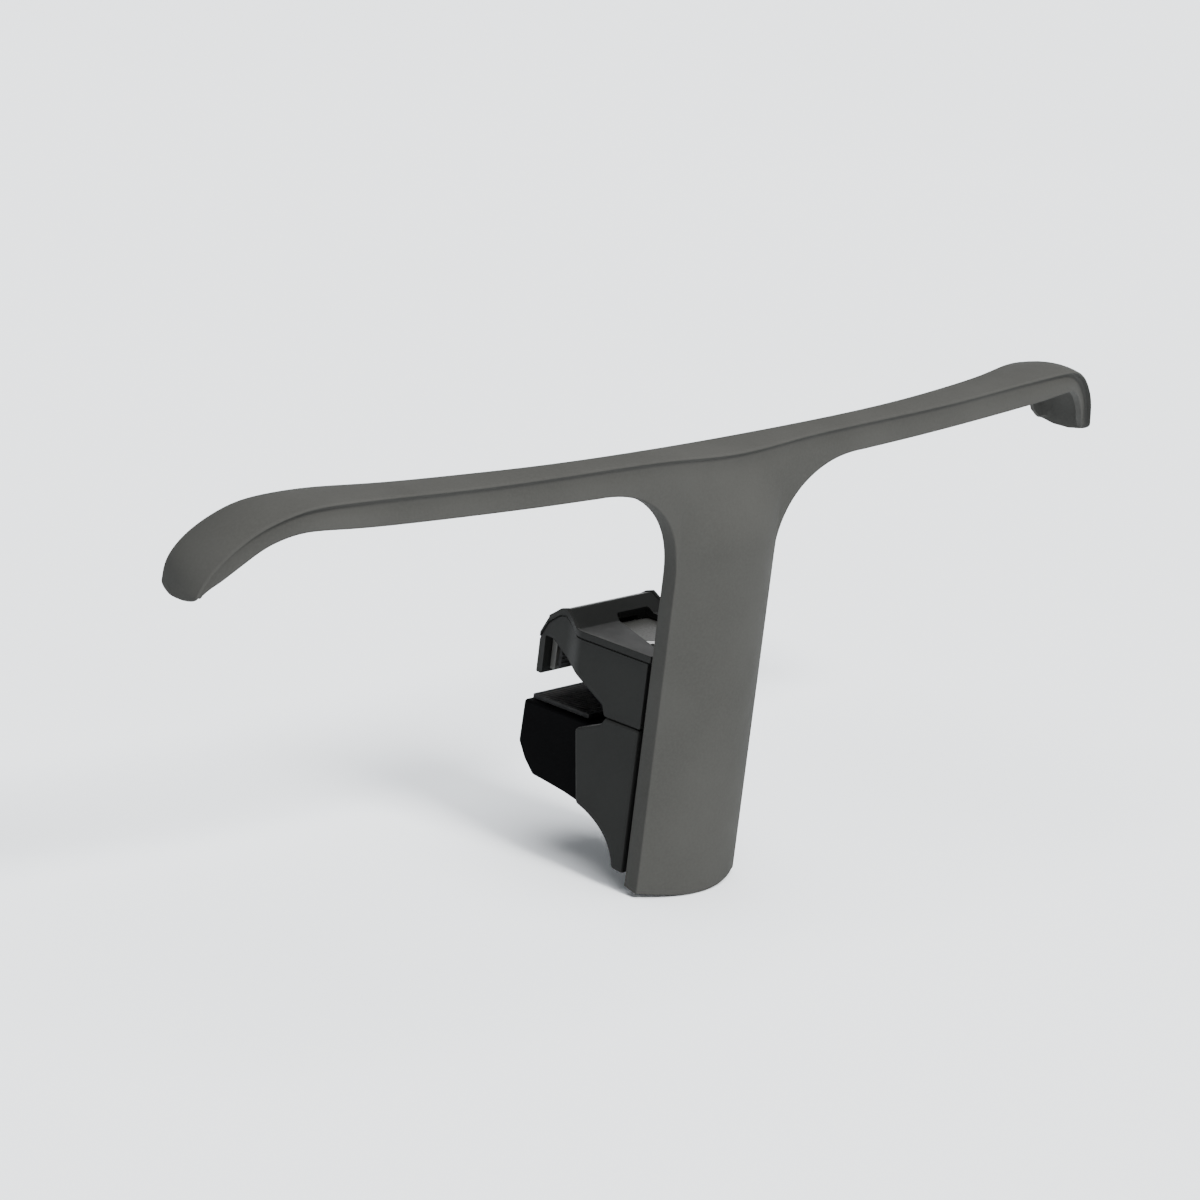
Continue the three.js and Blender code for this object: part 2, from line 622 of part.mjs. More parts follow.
// Clamp: the screws turn in the core and pull the jaw up by its captive nuts.
addPiece('clamp_jaw', clampJaw(), jawPlastic);
for (const [side, sign] of SIDES) {
  const x = sign * CLAMP.x;
  const collar = ring(COLLAR.radius, CLAMP.radius + 0.1, x, CLAMP.y, hookUnder - COLLAR.height, hookUnder);
  addPiece(`clamp_screw_${side}`, clampScrew(), steel).position.set(x, CLAMP.y, CORE_TOP);
  addPiece(`clamp_nut_${side}`, clampNut(x), steel);
  addPiece(`screw_collar_${side}`, collar, steel);
}

// Screws that run along Y, heads towards the seat.
const facingSeat = new THREE.Group();
facingSeat.rotation.x = -Math.PI / 2;
hanger.add(facingSeat);
function addSeatScrew(name, solid, x, y, z) {
  addPiece(name, solid, steel, facingSeat).position.set(x, -z, y);
}
stemScrewPlaces().forEach(([x, z], i) => {
  const insert = barY(INSERT.radius, x, z, INSERT.back, INSERT.front)
    .subtract(barY(INSERT.bore, x, z, INSERT.back + 1, INSERT.front + 1));
  addPiece(`stem_insert_${i + 1}`, insert, brass);
  addSeatScrew(`stem_screw_${i + 1}`, panHead(STEM_SCREW), x, CORE_BACK + STEEL + GAP, z);
});
['lower', 'upper'].forEach((place, i) => {
  addSeatScrew(`cover_screw_${place}`, panHead(COVER_SCREW), 0, COVER_BACK + 1, COVER_SCREW.z[i]);
});

// Screws that hold the two shrouds on the core.
const facingDown = new THREE.Group();
facingDown.rotation.x = Math.PI;
hanger.add(facingDown);
for (const [side, sign] of SIDES) {
  const lowerX = sign * LOWER_SCREW.x;
  addSeatScrew(`shroud_screw_lower_${side}`, panHead(LOWER_SCREW), lowerX, LOWER_WALL.front + GAP, LOWER_SCREW.z);
  addPiece(`shroud_screw_upper_${side}`, panHead(UPPER_SCREW), steel, facingDown)
    .position.set(sign * UPPER_SCREW.x, -UPPER_SCREW.y, -hookUnder);
}

export default hanger;
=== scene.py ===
"""Looks of the clamp-on coat hanger for an office chair's back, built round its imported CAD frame.

Sizes are in millimetres in the row frame and turned into metres where a mesh is made.
+X is to the right seen from behind the chair, +Y towards the seat and +Z up along the stem.
"""

import math

import bmesh
import bpy
import numpy as np
from mathutils import Matrix, Vector


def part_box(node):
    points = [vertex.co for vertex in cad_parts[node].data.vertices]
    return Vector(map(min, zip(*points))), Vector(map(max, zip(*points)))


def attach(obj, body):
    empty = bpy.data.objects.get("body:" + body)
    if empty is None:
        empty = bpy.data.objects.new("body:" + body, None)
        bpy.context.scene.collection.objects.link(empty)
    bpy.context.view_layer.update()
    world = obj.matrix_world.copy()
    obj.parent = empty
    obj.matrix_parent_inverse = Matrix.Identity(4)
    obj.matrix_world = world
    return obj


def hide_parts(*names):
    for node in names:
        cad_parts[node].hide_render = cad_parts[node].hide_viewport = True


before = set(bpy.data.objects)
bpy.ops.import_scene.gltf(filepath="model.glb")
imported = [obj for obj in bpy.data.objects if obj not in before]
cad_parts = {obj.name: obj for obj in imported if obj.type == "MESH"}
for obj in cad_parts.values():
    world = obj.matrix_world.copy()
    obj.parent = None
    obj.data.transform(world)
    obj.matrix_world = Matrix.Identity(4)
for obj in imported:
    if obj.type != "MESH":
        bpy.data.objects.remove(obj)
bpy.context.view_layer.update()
MM = 0.001


# ---- driving sizes ----
def node_box(node):
    """Lowest and highest corner of a CAD node in millimetres."""
    low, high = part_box(node)
    return low / MM, high / MM


WALL = 2.4
HALF_WIDTH = 24.0
STEM_FRONT = -42.0
STEM_REAR = -47.4
STEM_BULGE = 7.5
STEM_FOOT = -70.7
FOOT_SLOPE = 0.2
BULGE_FULL = 42.0
BULGE_END = 69.0
FILLET_WIDTH = 41.0
FILLET_HEIGHT = 32.0
FILLET_TOP = 64.4
FILLET_POWER = 2.3
WEB_END = HALF_WIDTH + FILLET_WIDTH
WEB_FOOT = FILLET_TOP - FILLET_HEIGHT

STEEL = 2.2
GAP = 0.3
CORE_BACK = STEM_FRONT + 0.1
CORE_TOP = node_box("steel_core")[1].z
PLATE_TOP = 6.0
PLATE_UNDER = CORE_TOP + GAP
SHROUD_BACK = -40.4
SEAM = -18.1
HUMP_START = -9.9
HUMP_CREST = -3.1
HUMP_TOP = 10.5
NOSE_FRONT = node_box("bracket_upper")[1].y
NOSE_FOOT = -13.5
RAIL_Y = 2.0
RAIL_Z = -0.6
RAIL_SLOPE = 0.54

JAW_TOP = -24.3
CLAMP_X = 6.5
CLAMP_Y = -28.4
STEM_SCREW_X = 13.0
STEM_SCREW_Z = (-12.0, -46.0)
STEM_HOLE = 2.3
SHROUD_HOLE = 2.1
COVER_SCREW_Z = {"lower": 14.0, "upper": 46.0}
SIDES = {"left": -1, "right": 1}


# ---- mesh helpers ----
def linked(name, data):
    obj = bpy.data.objects.new(name, data)
    bpy.context.scene.collection.objects.link(obj)
    return obj


def mesh_object(name, points, faces):
    mesh = bpy.data.meshes.new(name)
    mesh.from_pydata([Vector(p) * MM for p in points], [], faces)
    return linked(name, mesh)


def close_up(obj, distance=0.0005):
    """Joins coincident points and turns every face outwards."""
    work = bmesh.new()
    work.from_mesh(obj.data)
    bmesh.ops.remove_doubles(work, verts=work.verts, dist=distance * MM)
    bmesh.ops.dissolve_degenerate(work, edges=work.edges, dist=1e-8)
    bmesh.ops.recalc_face_normals(work, faces=work.faces)
    if work.calc_volume(signed=True) < 0:
        bmesh.ops.reverse_faces(work, faces=work.faces)
    work.to_mesh(obj.data)
    work.free()
    return obj


class Skin:
    """A closed surface gathered from grids of points whose borders meet."""

    def __init__(self):
        self.points = []
        self.faces = []

    def grid(self, rows):
        start = len(self.points)
        width = len(rows[0])
        for row in rows:
            self.points.extend(row)
        for r in range(len(rows) - 1):
            for c in range(width - 1):
                a = start + r * width + c
                self.faces.append((a, a + 1, a + 1 + width, a + width))

    def cap(self, ring):
        """Closes a ring whose last point repeats its first."""
        start = len(self.points)
        self.points.extend(ring[:-1])
        self.faces.append(tuple(range(start, len(self.points))))

    def build(self, name, join=0.0005):
        return close_up(mesh_object(name, self.points, self.faces), join)


def apply_modifiers(obj):
    graph = bpy.context.evaluated_depsgraph_get()
    mesh = bpy.data.meshes.new_from_object(obj.evaluated_get(graph))
    obj.modifiers.clear()
    old = obj.data
    obj.data = mesh
    bpy.data.meshes.remove(old)
    return obj


def combine(obj, other, operation):
    """Cuts obj by other or joins other to it, and removes other."""
    tool = obj.modifiers.new("combine", "BOOLEAN")
    tool.operation = operation
    tool.object = other
    tool.solver = "MANIFOLD"
    apply_modifiers(obj)
    bpy.data.objects.remove(other)
    return obj


def cut(obj, *cutters):
    for cutter in cutters:
        combine(obj, cutter, "DIFFERENCE")
    return obj


def bevel(obj, width, segments=3, angle=30):
    tool = obj.modifiers.new("bevel", "BEVEL")
    tool.width = width * MM
    tool.segments = segments
    tool.limit_method = "ANGLE"
    tool.angle_limit = math.radians(angle)
    tool.use_clamp_overlap = True
    tool.miter_outer = "MITER_ARC"
    return apply_modifiers(obj)


def smooth(obj, angle=38):
    """Smooth shading up to an angle between faces, with the large flat faces kept flat."""
    for polygon in obj.data.polygons:
        polygon.use_smooth = True
    obj.data.set_sharp_from_angle(angle=math.radians(angle))
    tool = obj.modifiers.new("normals", "WEIGHTED_NORMAL")
    tool.keep_sharp = True
    return apply_modifiers(obj)


def prism(name, outline, axis, low, high):
    """A prism along X on [y, z] points, along Y on [x, z] points or along Z on [x, y] points."""
    order = {"x": (2, 0, 1), "y": (0, 2, 1), "z": (0, 1, 2)}[axis]
    count = len(outline)
    points = [[(a, b, end)[k] for k in order] for end in (low, high) for a, b in outline]
    faces = [tuple(range(count)), tuple(range(count, 2 * count))]
    faces += [(i, (i + 1) % count, count + (i + 1) % count, count + i) for i in range(count)]
    return close_up(mesh_object(name, points, faces))


def block(name, x, y, z):
    outline = [(y[0], z[0]), (y[1], z[0]), (y[1], z[1]), (y[0], z[1])]
    return prism(name, outline, "x", *x)


def turns(sides):
    """Angles once round, ending on the one they start from."""
    return [2 * math.pi * (i % sides) / sides for i in range(sides + 1)]


def around(radius, angle, z):
    return radius * math.cos(angle), radius * math.sin(angle), z


def turned(name, profile, sides=40):
    """A surface of revolution about Z; its [radius, z] points start and end on the axis, or close."""
    skin = Skin()
    skin.grid([[around(r, angle, z) for r, z in profile] for angle in turns(sides)])
    return skin.build(name)


def bar(name, radius, axis, at, low, high, sides=40):
    """A round bar along Y at [x, z], or along Z at [x, y]."""
    ring = [(at[0] + radius * math.cos(t), at[1] + radius * math.sin(t))
            for t in np.linspace(0, 2 * math.pi, sides, endpoint=False)]
    return prism(name, ring, axis, low, high)


def hexagon(radius, at=(0, 0)):
    """Corners of a hexagon, the first one along the first axis."""
    return [(at[0] + radius * math.cos(k * math.pi / 3), at[1] + radius * math.sin(k * math.pi / 3))
            for k in range(6)]


def move(obj, matrix):
    obj.data.transform(matrix)
    return obj


def placed(obj, x, y, z, facing="up"):
    """Moves a piece made about the Z axis to its place; it can face up, down or the seat."""
    turn = {
        "up": Matrix.Identity(4),
        "down": Matrix.Rotation(math.pi, 4, "X"),
        "seat": Matrix.Rotation(-math.pi / 2, 4, "X"),
    }[facing]
    return move(obj, Matrix.Translation(Vector((x, y, z)) * MM) @ turn)


def arc(y, z, radius, start, end, steps):
    """Points of an arc about [y, z] from one angle to the other, in degrees."""
    angles = np.radians(np.linspace(start, end, steps + 1))
    return [(y + radius * math.cos(t), z + radius * math.sin(t)) for t in angles]


# ---- materials ----
class Shader:
    """A Principled material whose colour, roughness and bump come from noise in object space."""

    def __init__(self, name, metallic=0.0, specular=0.5):
        self.material = bpy.data.materials.new(name)
        self.material.use_nodes = True
        self.nodes = self.material.node_tree.nodes
        self.links = self.material.node_tree.links
        self.shader = self.nodes["Principled BSDF"]
        self.shader.inputs["Metallic"].default_value = metallic
        self.shader.inputs["Specular IOR Level"].default_value = specular
        self.space = self.nodes.new("ShaderNodeTexCoord").outputs["Object"]

    def stretched(self, x, y, z):
        mapping = self.nodes.new("ShaderNodeMapping")
        mapping.inputs["Scale"].default_value = (x, y, z)
        self.links.new(self.space, mapping.inputs["Vector"])
        return mapping.outputs["Vector"]

    def noise(self, size, detail=3.0, rough=0.55, space=None):
        """Noise whose features are about size millimetres across."""
        node = self.nodes.new("ShaderNodeTexNoise")
        node.inputs["Scale"].default_value = 1 / (size * MM)
        node.inputs["Detail"].default_value = detail
        node.inputs["Roughness"].default_value = rough
        self.links.new(space or self.space, node.inputs["Vector"])
        return node.outputs["Fac"]

    def cells(self, size):
        node = self.nodes.new("ShaderNodeTexVoronoi")
        node.feature = "SMOOTH_F1"
        node.inputs["Scale"].default_value = 1 / (size * MM)
        self.links.new(self.space, node.inputs["Vector"])
        return node.outputs["Distance"]

    def ramp(self, value, low, high, at=(0.35, 0.65)):
        node = self.nodes.new("ShaderNodeValToRGB")
        stops = node.color_ramp.elements
        for stop, where, colour in zip(stops, at, (low, high)):
            stop.position = where
            stop.color = (*colour, 1)
        self.links.new(value, node.inputs["Fac"])
        return node.outputs["Color"]

    def span(self, value, low, high, at=(0.3, 0.7)):
        node = self.nodes.new("ShaderNodeMapRange")
        for socket, number in zip(("From Min", "From Max", "To Min", "To Max"), (*at, low, high)):
            node.inputs[socket].default_value = number
        self.links.new(value, node.inputs["Value"])
        return node.outputs["Result"]

    def mix(self, factor, first, second):
        node = self.nodes.new("ShaderNodeMix")
        node.data_type = "RGBA"
        self.links.new(factor, node.inputs["Factor"])
        for socket, value in (("A", first), ("B", second)):
            colours = [s for s in node.inputs if s.name == socket and s.type == "RGBA"]
            if isinstance(value, tuple):
                colours[0].default_value = (*value, 1)
            else:
                self.links.new(value, colours[0])
        return [s for s in node.outputs if s.type == "RGBA"][0]

    def colour(self, value):
        self.links.new(value, self.shader.inputs["Base Color"])

    def roughness(self, value):
        self.links.new(value, self.shader.inputs["Roughness"])

    def bump(self, *layers):
        """Each layer is a height value and its depth in millimetres."""
        normal = None
        for value, depth in layers:
            node = self.nodes.new("ShaderNodeBump")
            node.inputs["Strength"].default_value = 1.0
            node.inputs["Distance"].default_value = depth * MM
            self.links.new(value, node.inputs["Height"])
            if normal is not None:
                self.links.new(normal, node.inputs["Normal"])
            normal = node.outputs["Normal"]
        self.links.new(normal, self.shader.inputs["Normal"])


def scaled(colour, factor):
    return tuple(c * factor for c in colour)


def moulded_plastic(name, colour, rough, grain, depth, specular):
    """Spark-textured moulding: fine grain and slow tone changes."""
    shader = Shader(name, specular=specular)
    tone = shader.noise(38, detail=2.0)
    speck = shader.noise(grain * 1.6, detail=2.0)
    body = shader.ramp(tone, scaled(colour, 0.94), scaled(colour, 1.06))
    shader.colour(shader.mix(shader.span(speck, 0.0, 0.35), body, scaled(colour, 1.22)))
    shader.roughness(shader.span(shader.noise(11, detail=4.0), rough - 0.05, rough + 0.06))
    shader.bump((shader.noise(60, detail=1.0), 0.05), (shader.cells(grain), depth), (speck, depth * 0.6))
    return shader.material


def rubber_compound(name, colour):
    shader = Shader(name, specular=0.3)
    dust = shader.noise(4.0, detail=5.0)
    shader.colour(shader.ramp(dust, scaled(colour, 0.8), scaled(colour, 1.7)))
    shader.roughness(shader.span(shader.noise(1.5), 0.78, 0.92))
    shader.bump((shader.noise(0.35, detail=2.0), 0.02))
    return shader.material


def plated_metal(name, colour, rough, along=(1.0, 1.0, 0.06)):
    """Plated or drawn metal with fine streaks along one direction."""
    shader = Shader(name, metallic=1.0)
    streaks = shader.noise(0.25, detail=3.0, space=shader.stretched(*along))
    cloud = shader.noise(3.5, detail=3.0)
    shader.colour(shader.ramp(cloud, scaled(colour, 0.82), scaled(colour, 1.08)))
    shader.roughness(shader.span(streaks, rough - 0.07, rough + 0.1))
    shader.bump((streaks, 0.004))
    return shader.material


def powder_coat(name, colour):
    """Coated steel: an orange-peel skin with small specks."""
    shader = Shader(name, specular=0.45)
    peel = shader.noise(0.9, detail=2.0)
    speck = shader.noise(0.22, detail=1.0)
    shader.colour(shader.mix(shader.span(speck, 0.0, 0.3), scaled(colour, 0.95), scaled(colour, 1.25)))
    shader.roughness(shader.span(peel, 0.40, 0.55))
    shader.bump((peel, 0.03), (speck, 0.006))
    return shader.material


HANGER_PLASTIC = moulded_plastic("hanger_plastic", (0.040, 0.040, 0.0375),
                                 rough=0.72, grain=0.55, depth=0.012, specular=0.02)
SHROUD_PLASTIC = moulded_plastic("shroud_plastic", (0.013, 0.0134, 0.0126),
                                 rough=0.42, grain=0.45, depth=0.010, specular=0.06)
# The jaw's colour is partly its own black plastic and partly painted shade: it is darker than any
# plastic, standing for the shadow that falls on the jaw under the rail.
JAW_PLASTIC_AND_PAINTED_SHADE = moulded_plastic("jaw_plastic", (0.002, 0.002, 0.0022),
                              rough=0.70, grain=0.60, depth=0.012, specular=0.02)
RUBBER = rubber_compound("rubber", (0.012, 0.012, 0.012))
ZINC = plated_metal("zinc_plate", (0.50, 0.50, 0.49), rough=0.34)
CORE_COAT = powder_coat("core_coat", (0.040, 0.040, 0.036))
BRASS = plated_metal("turned_brass", (0.70, 0.50, 0.22), rough=0.30, along=(1.0, 0.06, 1.0))


# ---- pieces and the CAD nodes they stand for ----
def add_piece(obj, node, body, material):
    obj.data.materials.clear()
    obj.data.materials.append(material)
    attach(obj, body)
    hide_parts(node)
    return obj


# ---- hanger: the arms' run ----
# Stations along one arm: the sharp rear crease and the front edge of its top, how deep the rear and
# front walls hang below them, and how far the top swells between them.
ARM_STATIONS = [
    ((0, -47.8, 71.7), (0, -35.7, 73.3), 11.1, 6.5, 0.4),
    ((30, -47.7, 73.1), (30, -37.6, 74.2), 10.3, 6.5, 0.4),
    ((60, -47.4, 74), (60, -38.4, 75), 9.8, 6.5, 0.4),
    ((88, -46.7, 74.3), (88, -37.2, 75.4), 9.5, 6.5, 0.5),
    ((112, -45.9, 74.7), (112, -34.6, 75.6), 9.2, 6.5, 0.5),
    ((134, -44.8, 75.3), (134, -30.8, 75.4), 9.1, 6.5, 0.6),
    ((154, -43.8, 76), (152, -27, 75.3), 9, 6.6, 0.8),
    ((170, -43.2, 76.5), (167, -22.9, 75.1), 8.5, 7, 1.1),
    ((182, -42.2, 76.3), (179, -19.3, 74), 7.7, 7.8, 1.5),
    ((190, -40.3, 74.5), (189, -17.1, 72.5), 7, 8.6, 1.8),
    ((198, -37.6, 70.9), (196.3, -15.6, 70), 6.8, 9.3, 2),
    ((205, -35.1, 65.9), (204, -13.7, 65.4), 6.9, 9.4, 2),
    ((210.4, -33, 60.4), (209.6, -12.6, 60.3), 6.5, 9, 1.8),
    ((214, -31.3, 54.8), (212.2, -12.1, 55.2), 5.3, 8.2, 1.5),
    ((215.6, -30.5, 50.9), (212.6, -12, 51.2), 3.6, 7.2, 1.2),
]
TONGUE_ROUND = 3.2
TONGUE_TURN = math.radians(66)
# Where the front lip starts to fade and where it would be gone, measured from the last station,
# and its least depth.
LIP_FADE = (-6.0, 2.2)
LIP_LEAST = 2.6
MIDDLE_RUN, MIDDLE_SAMPLES = 90, 721


def natural_spline(knots, values):
    """Second derivatives of the natural cubic spline through values at the knots."""
    count = len(knots)
    gaps = np.diff(knots)
    system = np.eye(count)
    right = np.zeros_like(values)
    for i in range(1, count - 1):
        system[i, i - 1: i + 2] = gaps[i - 1], 2 * (gaps[i - 1] + gaps[i]), gaps[i]
        slopes = np.diff(values[i - 1: i + 2], axis=0) / gaps[i - 1: i + 1, None]
        right[i] = 6 * (slopes[1] - slopes[0])
    return np.linalg.solve(system, right)


class ArmRun:
    """Smooth run of both arms from tip to tip. The run's own length is measured from the middle."""

    def __init__(self):
        right = [np.array([*c, *f, r, w, crown], float) for c, f, r, w, crown in ARM_STATIONS]
        mirror = np.array([-1, 1, 1, -1, 1, 1, 1, 1, 1], float)
        rows = np.array([s * mirror for s in right[:0:-1]] + right)
        middles = (rows[:, :3] + rows[:, 3:6]) / 2
        steps = np.linalg.norm(np.diff(middles, axis=0), axis=1)
        self.knots = np.concatenate([[0], np.cumsum(steps)])
        self.knots -= self.knots[-1] / 2
        self.rows = rows
        self.bends = natural_spline(self.knots, rows)
        self.end = self.knots[-1]
        lengths = np.linspace(-MIDDLE_RUN, MIDDLE_RUN, MIDDLE_SAMPLES)
        self.by_x = np.array([self.at(u)[0] for u in lengths]), lengths

    def at(self, u):
        i = int(np.clip(np.searchsorted(self.knots, u) - 1, 0, len(self.knots) - 2))
        gap = self.knots[i + 1] - self.knots[i]
        b = (u - self.knots[i]) / gap
        a = 1 - b
        bend = (a**3 - a) * self.bends[i] + (b**3 - b) * self.bends[i + 1]
        return a * self.rows[i] + b * self.rows[i + 1] + bend * gap * gap / 6

    def length_at(self, x):
        """The run's length where the crease is at x, near the middle."""
        return float(np.interp(x, *self.by_x))

    def section(self, u):
        """Crease, unit across the top, unit into the arm, width, wall depths and crown at u."""
        inside = float(np.clip(u, -self.end, self.end))
        row = self.at(inside)
        crease, front = row[:3], row[3:6]
        ahead = self.at(min(inside + 0.5, self.end))
        behind = self.at(max(inside - 0.5, -self.end))
        run = (ahead[:3] + ahead[3:6]) - (behind[:3] + behind[3:6])
        inward = np.array([run[2], 0, -run[0]]) / math.hypot(run[0], run[2])
        past = abs(u) - self.end
        if past > 0:
            along = run / np.linalg.norm(run) * math.copysign(1, u)
            shrink = math.sqrt(max(1 - (past / TONGUE_ROUND) ** 2, 0))
            middle = (crease + front) / 2 + along * past
            half = (front - crease) / 2 * shrink
            crease, front = middle - half, middle + half
        width = float(np.linalg.norm(front - crease))
        straight = row[3:6] - row[:3]
        across = straight / np.linalg.norm(straight)
        faded = (past - LIP_FADE[0]) / (LIP_FADE[1] - LIP_FADE[0])
        lip = row[7] * math.sqrt(1 - min(max(faded, 0), 1) ** 2)
        return crease, across, inward, width, float(row[6]), max(float(lip), LIP_LEAST), float(row[8])


ARMS = ArmRun()


# ---- hanger: outer surface ----
CREASE_ROUND = 0.6
FRONT_ROUND = 1.5
EDGE_ROUND = 0.6
# Depth of the cove under the crease and how far down it is deepest, along the arms and at the tongues.
COVE_ALONG = (1.7, 2.2)
COVE_TONGUE = (2.0, 1.4)
COVE_FROM, COVE_OVER = 140.0, 45.0
NARROW = 8.0
REAR_SETTLE = 9.0
SHELF_SETTLE = 18.0
LEDGE_SHARE = 0.45
ARC_STEPS = 4
TOP_STEPS = 8
REAR_STEPS = 26
STEM_STEPS = 34
WEB_COLUMNS = 26
STEM_COLUMNS = 30
ARM_COLUMNS, TONGUE_COLUMNS, END_COLUMNS = 34, 44, 12
TONGUE_RUN = 62.0
WEB_CLEAR = 3.0


def eased(t):
    t = min(max(t, 0.0), 1.0)
    return t * t * (3 - 2 * t)


def cove(depth, x=0.0):
    """How far the rear face lies in under the crease at a depth below it; it tightens at the tongues."""
    share = eased((abs(x) - COVE_FROM) / COVE_OVER)
    amount, at = (a + (b - a) * share for a, b in zip(COVE_ALONG, COVE_TONGUE))
    t = max(depth - CREASE_ROUND * 0.5, 0) / at
    return amount * t * math.exp(1 - t)


def bulge(x, z):
    if abs(x) >= HALF_WIDTH:
        return 0.0
    fade = 1 - eased((z - BULGE_FULL) / (BULGE_END - BULGE_FULL))
    return STEM_BULGE * fade * (1 - (x / HALF_WIDTH) ** 2)


def quarter(start, corner, end, steps=ARC_STEPS):
    """Points that round a corner from start to end, both included."""
    start, corner, end = (np.array(p, float) for p in (start, corner, end))
    return [corner + (start - corner) * (1 - math.sin(t)) + (end - corner) * (1 - math.cos(t))
            for t in np.linspace(0, math.pi / 2, steps + 1)]


def line(start, end, steps):
    """Points between start and end, with neither end included."""
    start, end = np.array(start, float), np.array(end, float)
    return [start + (end - start) * k / steps for k in range(1, steps)]


def top_rows(section):
    """From the foot of the front wall over the top to the end of the crease's rounding."""
    crease, across, inward, width, _, front, crown = section
    ease = min(1.0, width / NARROW)
    crease_r, front_r, edge_r = CREASE_ROUND * ease, FRONT_ROUND * ease, EDGE_ROUND * ease

    def spot(p, q):
        return crease + across * p + inward * q

    def top(p):
        share = min(max(p / max(width, 0.01), 0), 1)
        return spot(p, -4 * crown * ease * share * (1 - share))

    rows = quarter(spot(width - edge_r, front), spot(width, front), spot(width, front - edge_r))
    rows += line(spot(width, front - edge_r), spot(width, front_r), 3)
    rows += quarter(spot(width, front_r), spot(width, 0), top(width - front_r))
    rows += [top(p) for p in np.linspace(width - front_r, crease_r, TOP_STEPS + 1)[1:-1]]
    rows += quarter(top(crease_r), spot(0, 0), spot(0, crease_r))
    return rows


def arm_column(u):
    """A closed ring of points round one arm, beyond the web."""
    section = ARMS.section(u)
    crease, across, inward, width, rear, front, _ = section
    ease = min(1.0, width / NARROW)
    edge_r = EDGE_ROUND * ease
    start = CREASE_ROUND * ease

    def spot(p, q):
        return crease + across * p + inward * q

    rows = top_rows(section)
    depths = np.linspace(start, rear - edge_r, REAR_STEPS + 1)[1:]
    rows += [spot(cove(d, crease[0]) * ease, d) for d in depths]
    foot = cove(rear - edge_r, crease[0]) * ease
    rows += quarter(spot(foot, rear - edge_r), spot(foot, rear), spot(foot + edge_r, rear))[1:]
    ledge = min(STEM_FRONT - STEM_REAR, width * LEDGE_SHARE)
    reach = (ledge - foot - edge_r) / max(width - foot, 0.01)
    under = rear + (front - rear) * reach
    settle = eased((abs(crease[0]) - WEB_END) / SHELF_SETTLE)
    shelf = rear + (under - rear) * settle
    rows += line(spot(foot + edge_r, rear), spot(ledge - edge_r, shelf), 3)
    rows += quarter(spot(ledge, shelf), spot(ledge, shelf), spot(ledge + 0.01, shelf))
    knee, foot_end = spot(ledge + 0.3, under), spot(width - edge_r, front)
    rows += line(rows[-1], knee, 6)
    rows += [knee] + line(knee, foot_end, 4) + [foot_end]
    return rows


def rear_point(x, z, crease):
    """A point of the rear surface of the web or stem under the crease point."""
    depth = crease[2] - z
    settle = eased(depth / REAR_SETTLE)
    y = crease[1] + (STEM_REAR - crease[1]) * settle + cove(depth) - bulge(x, z)
    return np.array([x, y, z])


def flange(inset_rear, outline_rear, outline_front, inset_front):
    """Rounded edge, side strip and rounded edge, from the rear surface round to the front plane."""
    y = inset_rear[1]
    corner = np.array([outline_rear[0], y, outline_rear[1]])
    side = np.array([outline_rear[0], y + EDGE_ROUND, outline_rear[1]])
    far = np.array([outline_front[0], STEM_FRONT - EDGE_ROUND, outline_front[1]])
    far_corner = np.array([outline_front[0], STEM_FRONT, outline_front[1]])
    end = np.array([inset_front[0], STEM_FRONT, inset_front[1]])
    rows = quarter(inset_rear, corner, side)[1:]
    rows += line(side, far, 3)
    rows += quarter(far, far_corner, end)
    return rows


def fillet_shares(turn):
    """Shares of the fillet's width and height at a turn in radians."""
    return math.cos(turn) ** (2 / FILLET_POWER), math.sin(turn) ** (2 / FILLET_POWER)


def fillet_point(turn):
    """Outline of the right-hand fillet and its direction out of the material, by turn in radians."""
    along, down = fillet_shares(turn)
    place = np.array([WEB_END - FILLET_WIDTH * along, WEB_FOOT + FILLET_HEIGHT * down])
    power = FILLET_POWER - 1
    out = np.array([along ** power / FILLET_WIDTH, -down ** power / FILLET_HEIGHT])
    return place, out / np.linalg.norm(out)


def front_rows(section, x):
    """From the front plane of the web to the foot of the arm's front wall."""
    crease, across, inward, width, rear, front, _ = section
    under = crease[2] - (rear + front) / 2
    knee = np.array([x, STEM_FRONT, under])
    foot = crease + across * (width - EDGE_ROUND) + inward * front
    return knee, [knee] + line(knee, foot, 4) + [foot]


def web_column(turn, side):
    """A closed ring of points through the arm and the web beside the stem."""
    outline, out = fillet_point(turn)
    share = 1 - turn / (math.pi / 2)
    x_top = WEB_END + (HALF_WIDTH - EDGE_ROUND - WEB_END) * share
    section = ARMS.section(ARMS.length_at(x_top))
    crease = section[0]
    inset = outline - out * EDGE_ROUND
    rows = top_rows(section)
    start = rows[-1]
    for k in range(1, REAR_STEPS + 1):
        t = k / REAR_STEPS
        x = x_top + (inset[0] - x_top) * t
        z = start[2] + (inset[1] - start[2]) * t
        rows.append(rear_point(x, z, crease))
    rows += flange(rows[-1], outline, outline, inset)
    knee, tail = front_rows(section, x_top)
    rows += line(rows[-1], knee, 6) + tail
    return [np.array([p[0] * side, p[1], p[2]]) for p in rows]


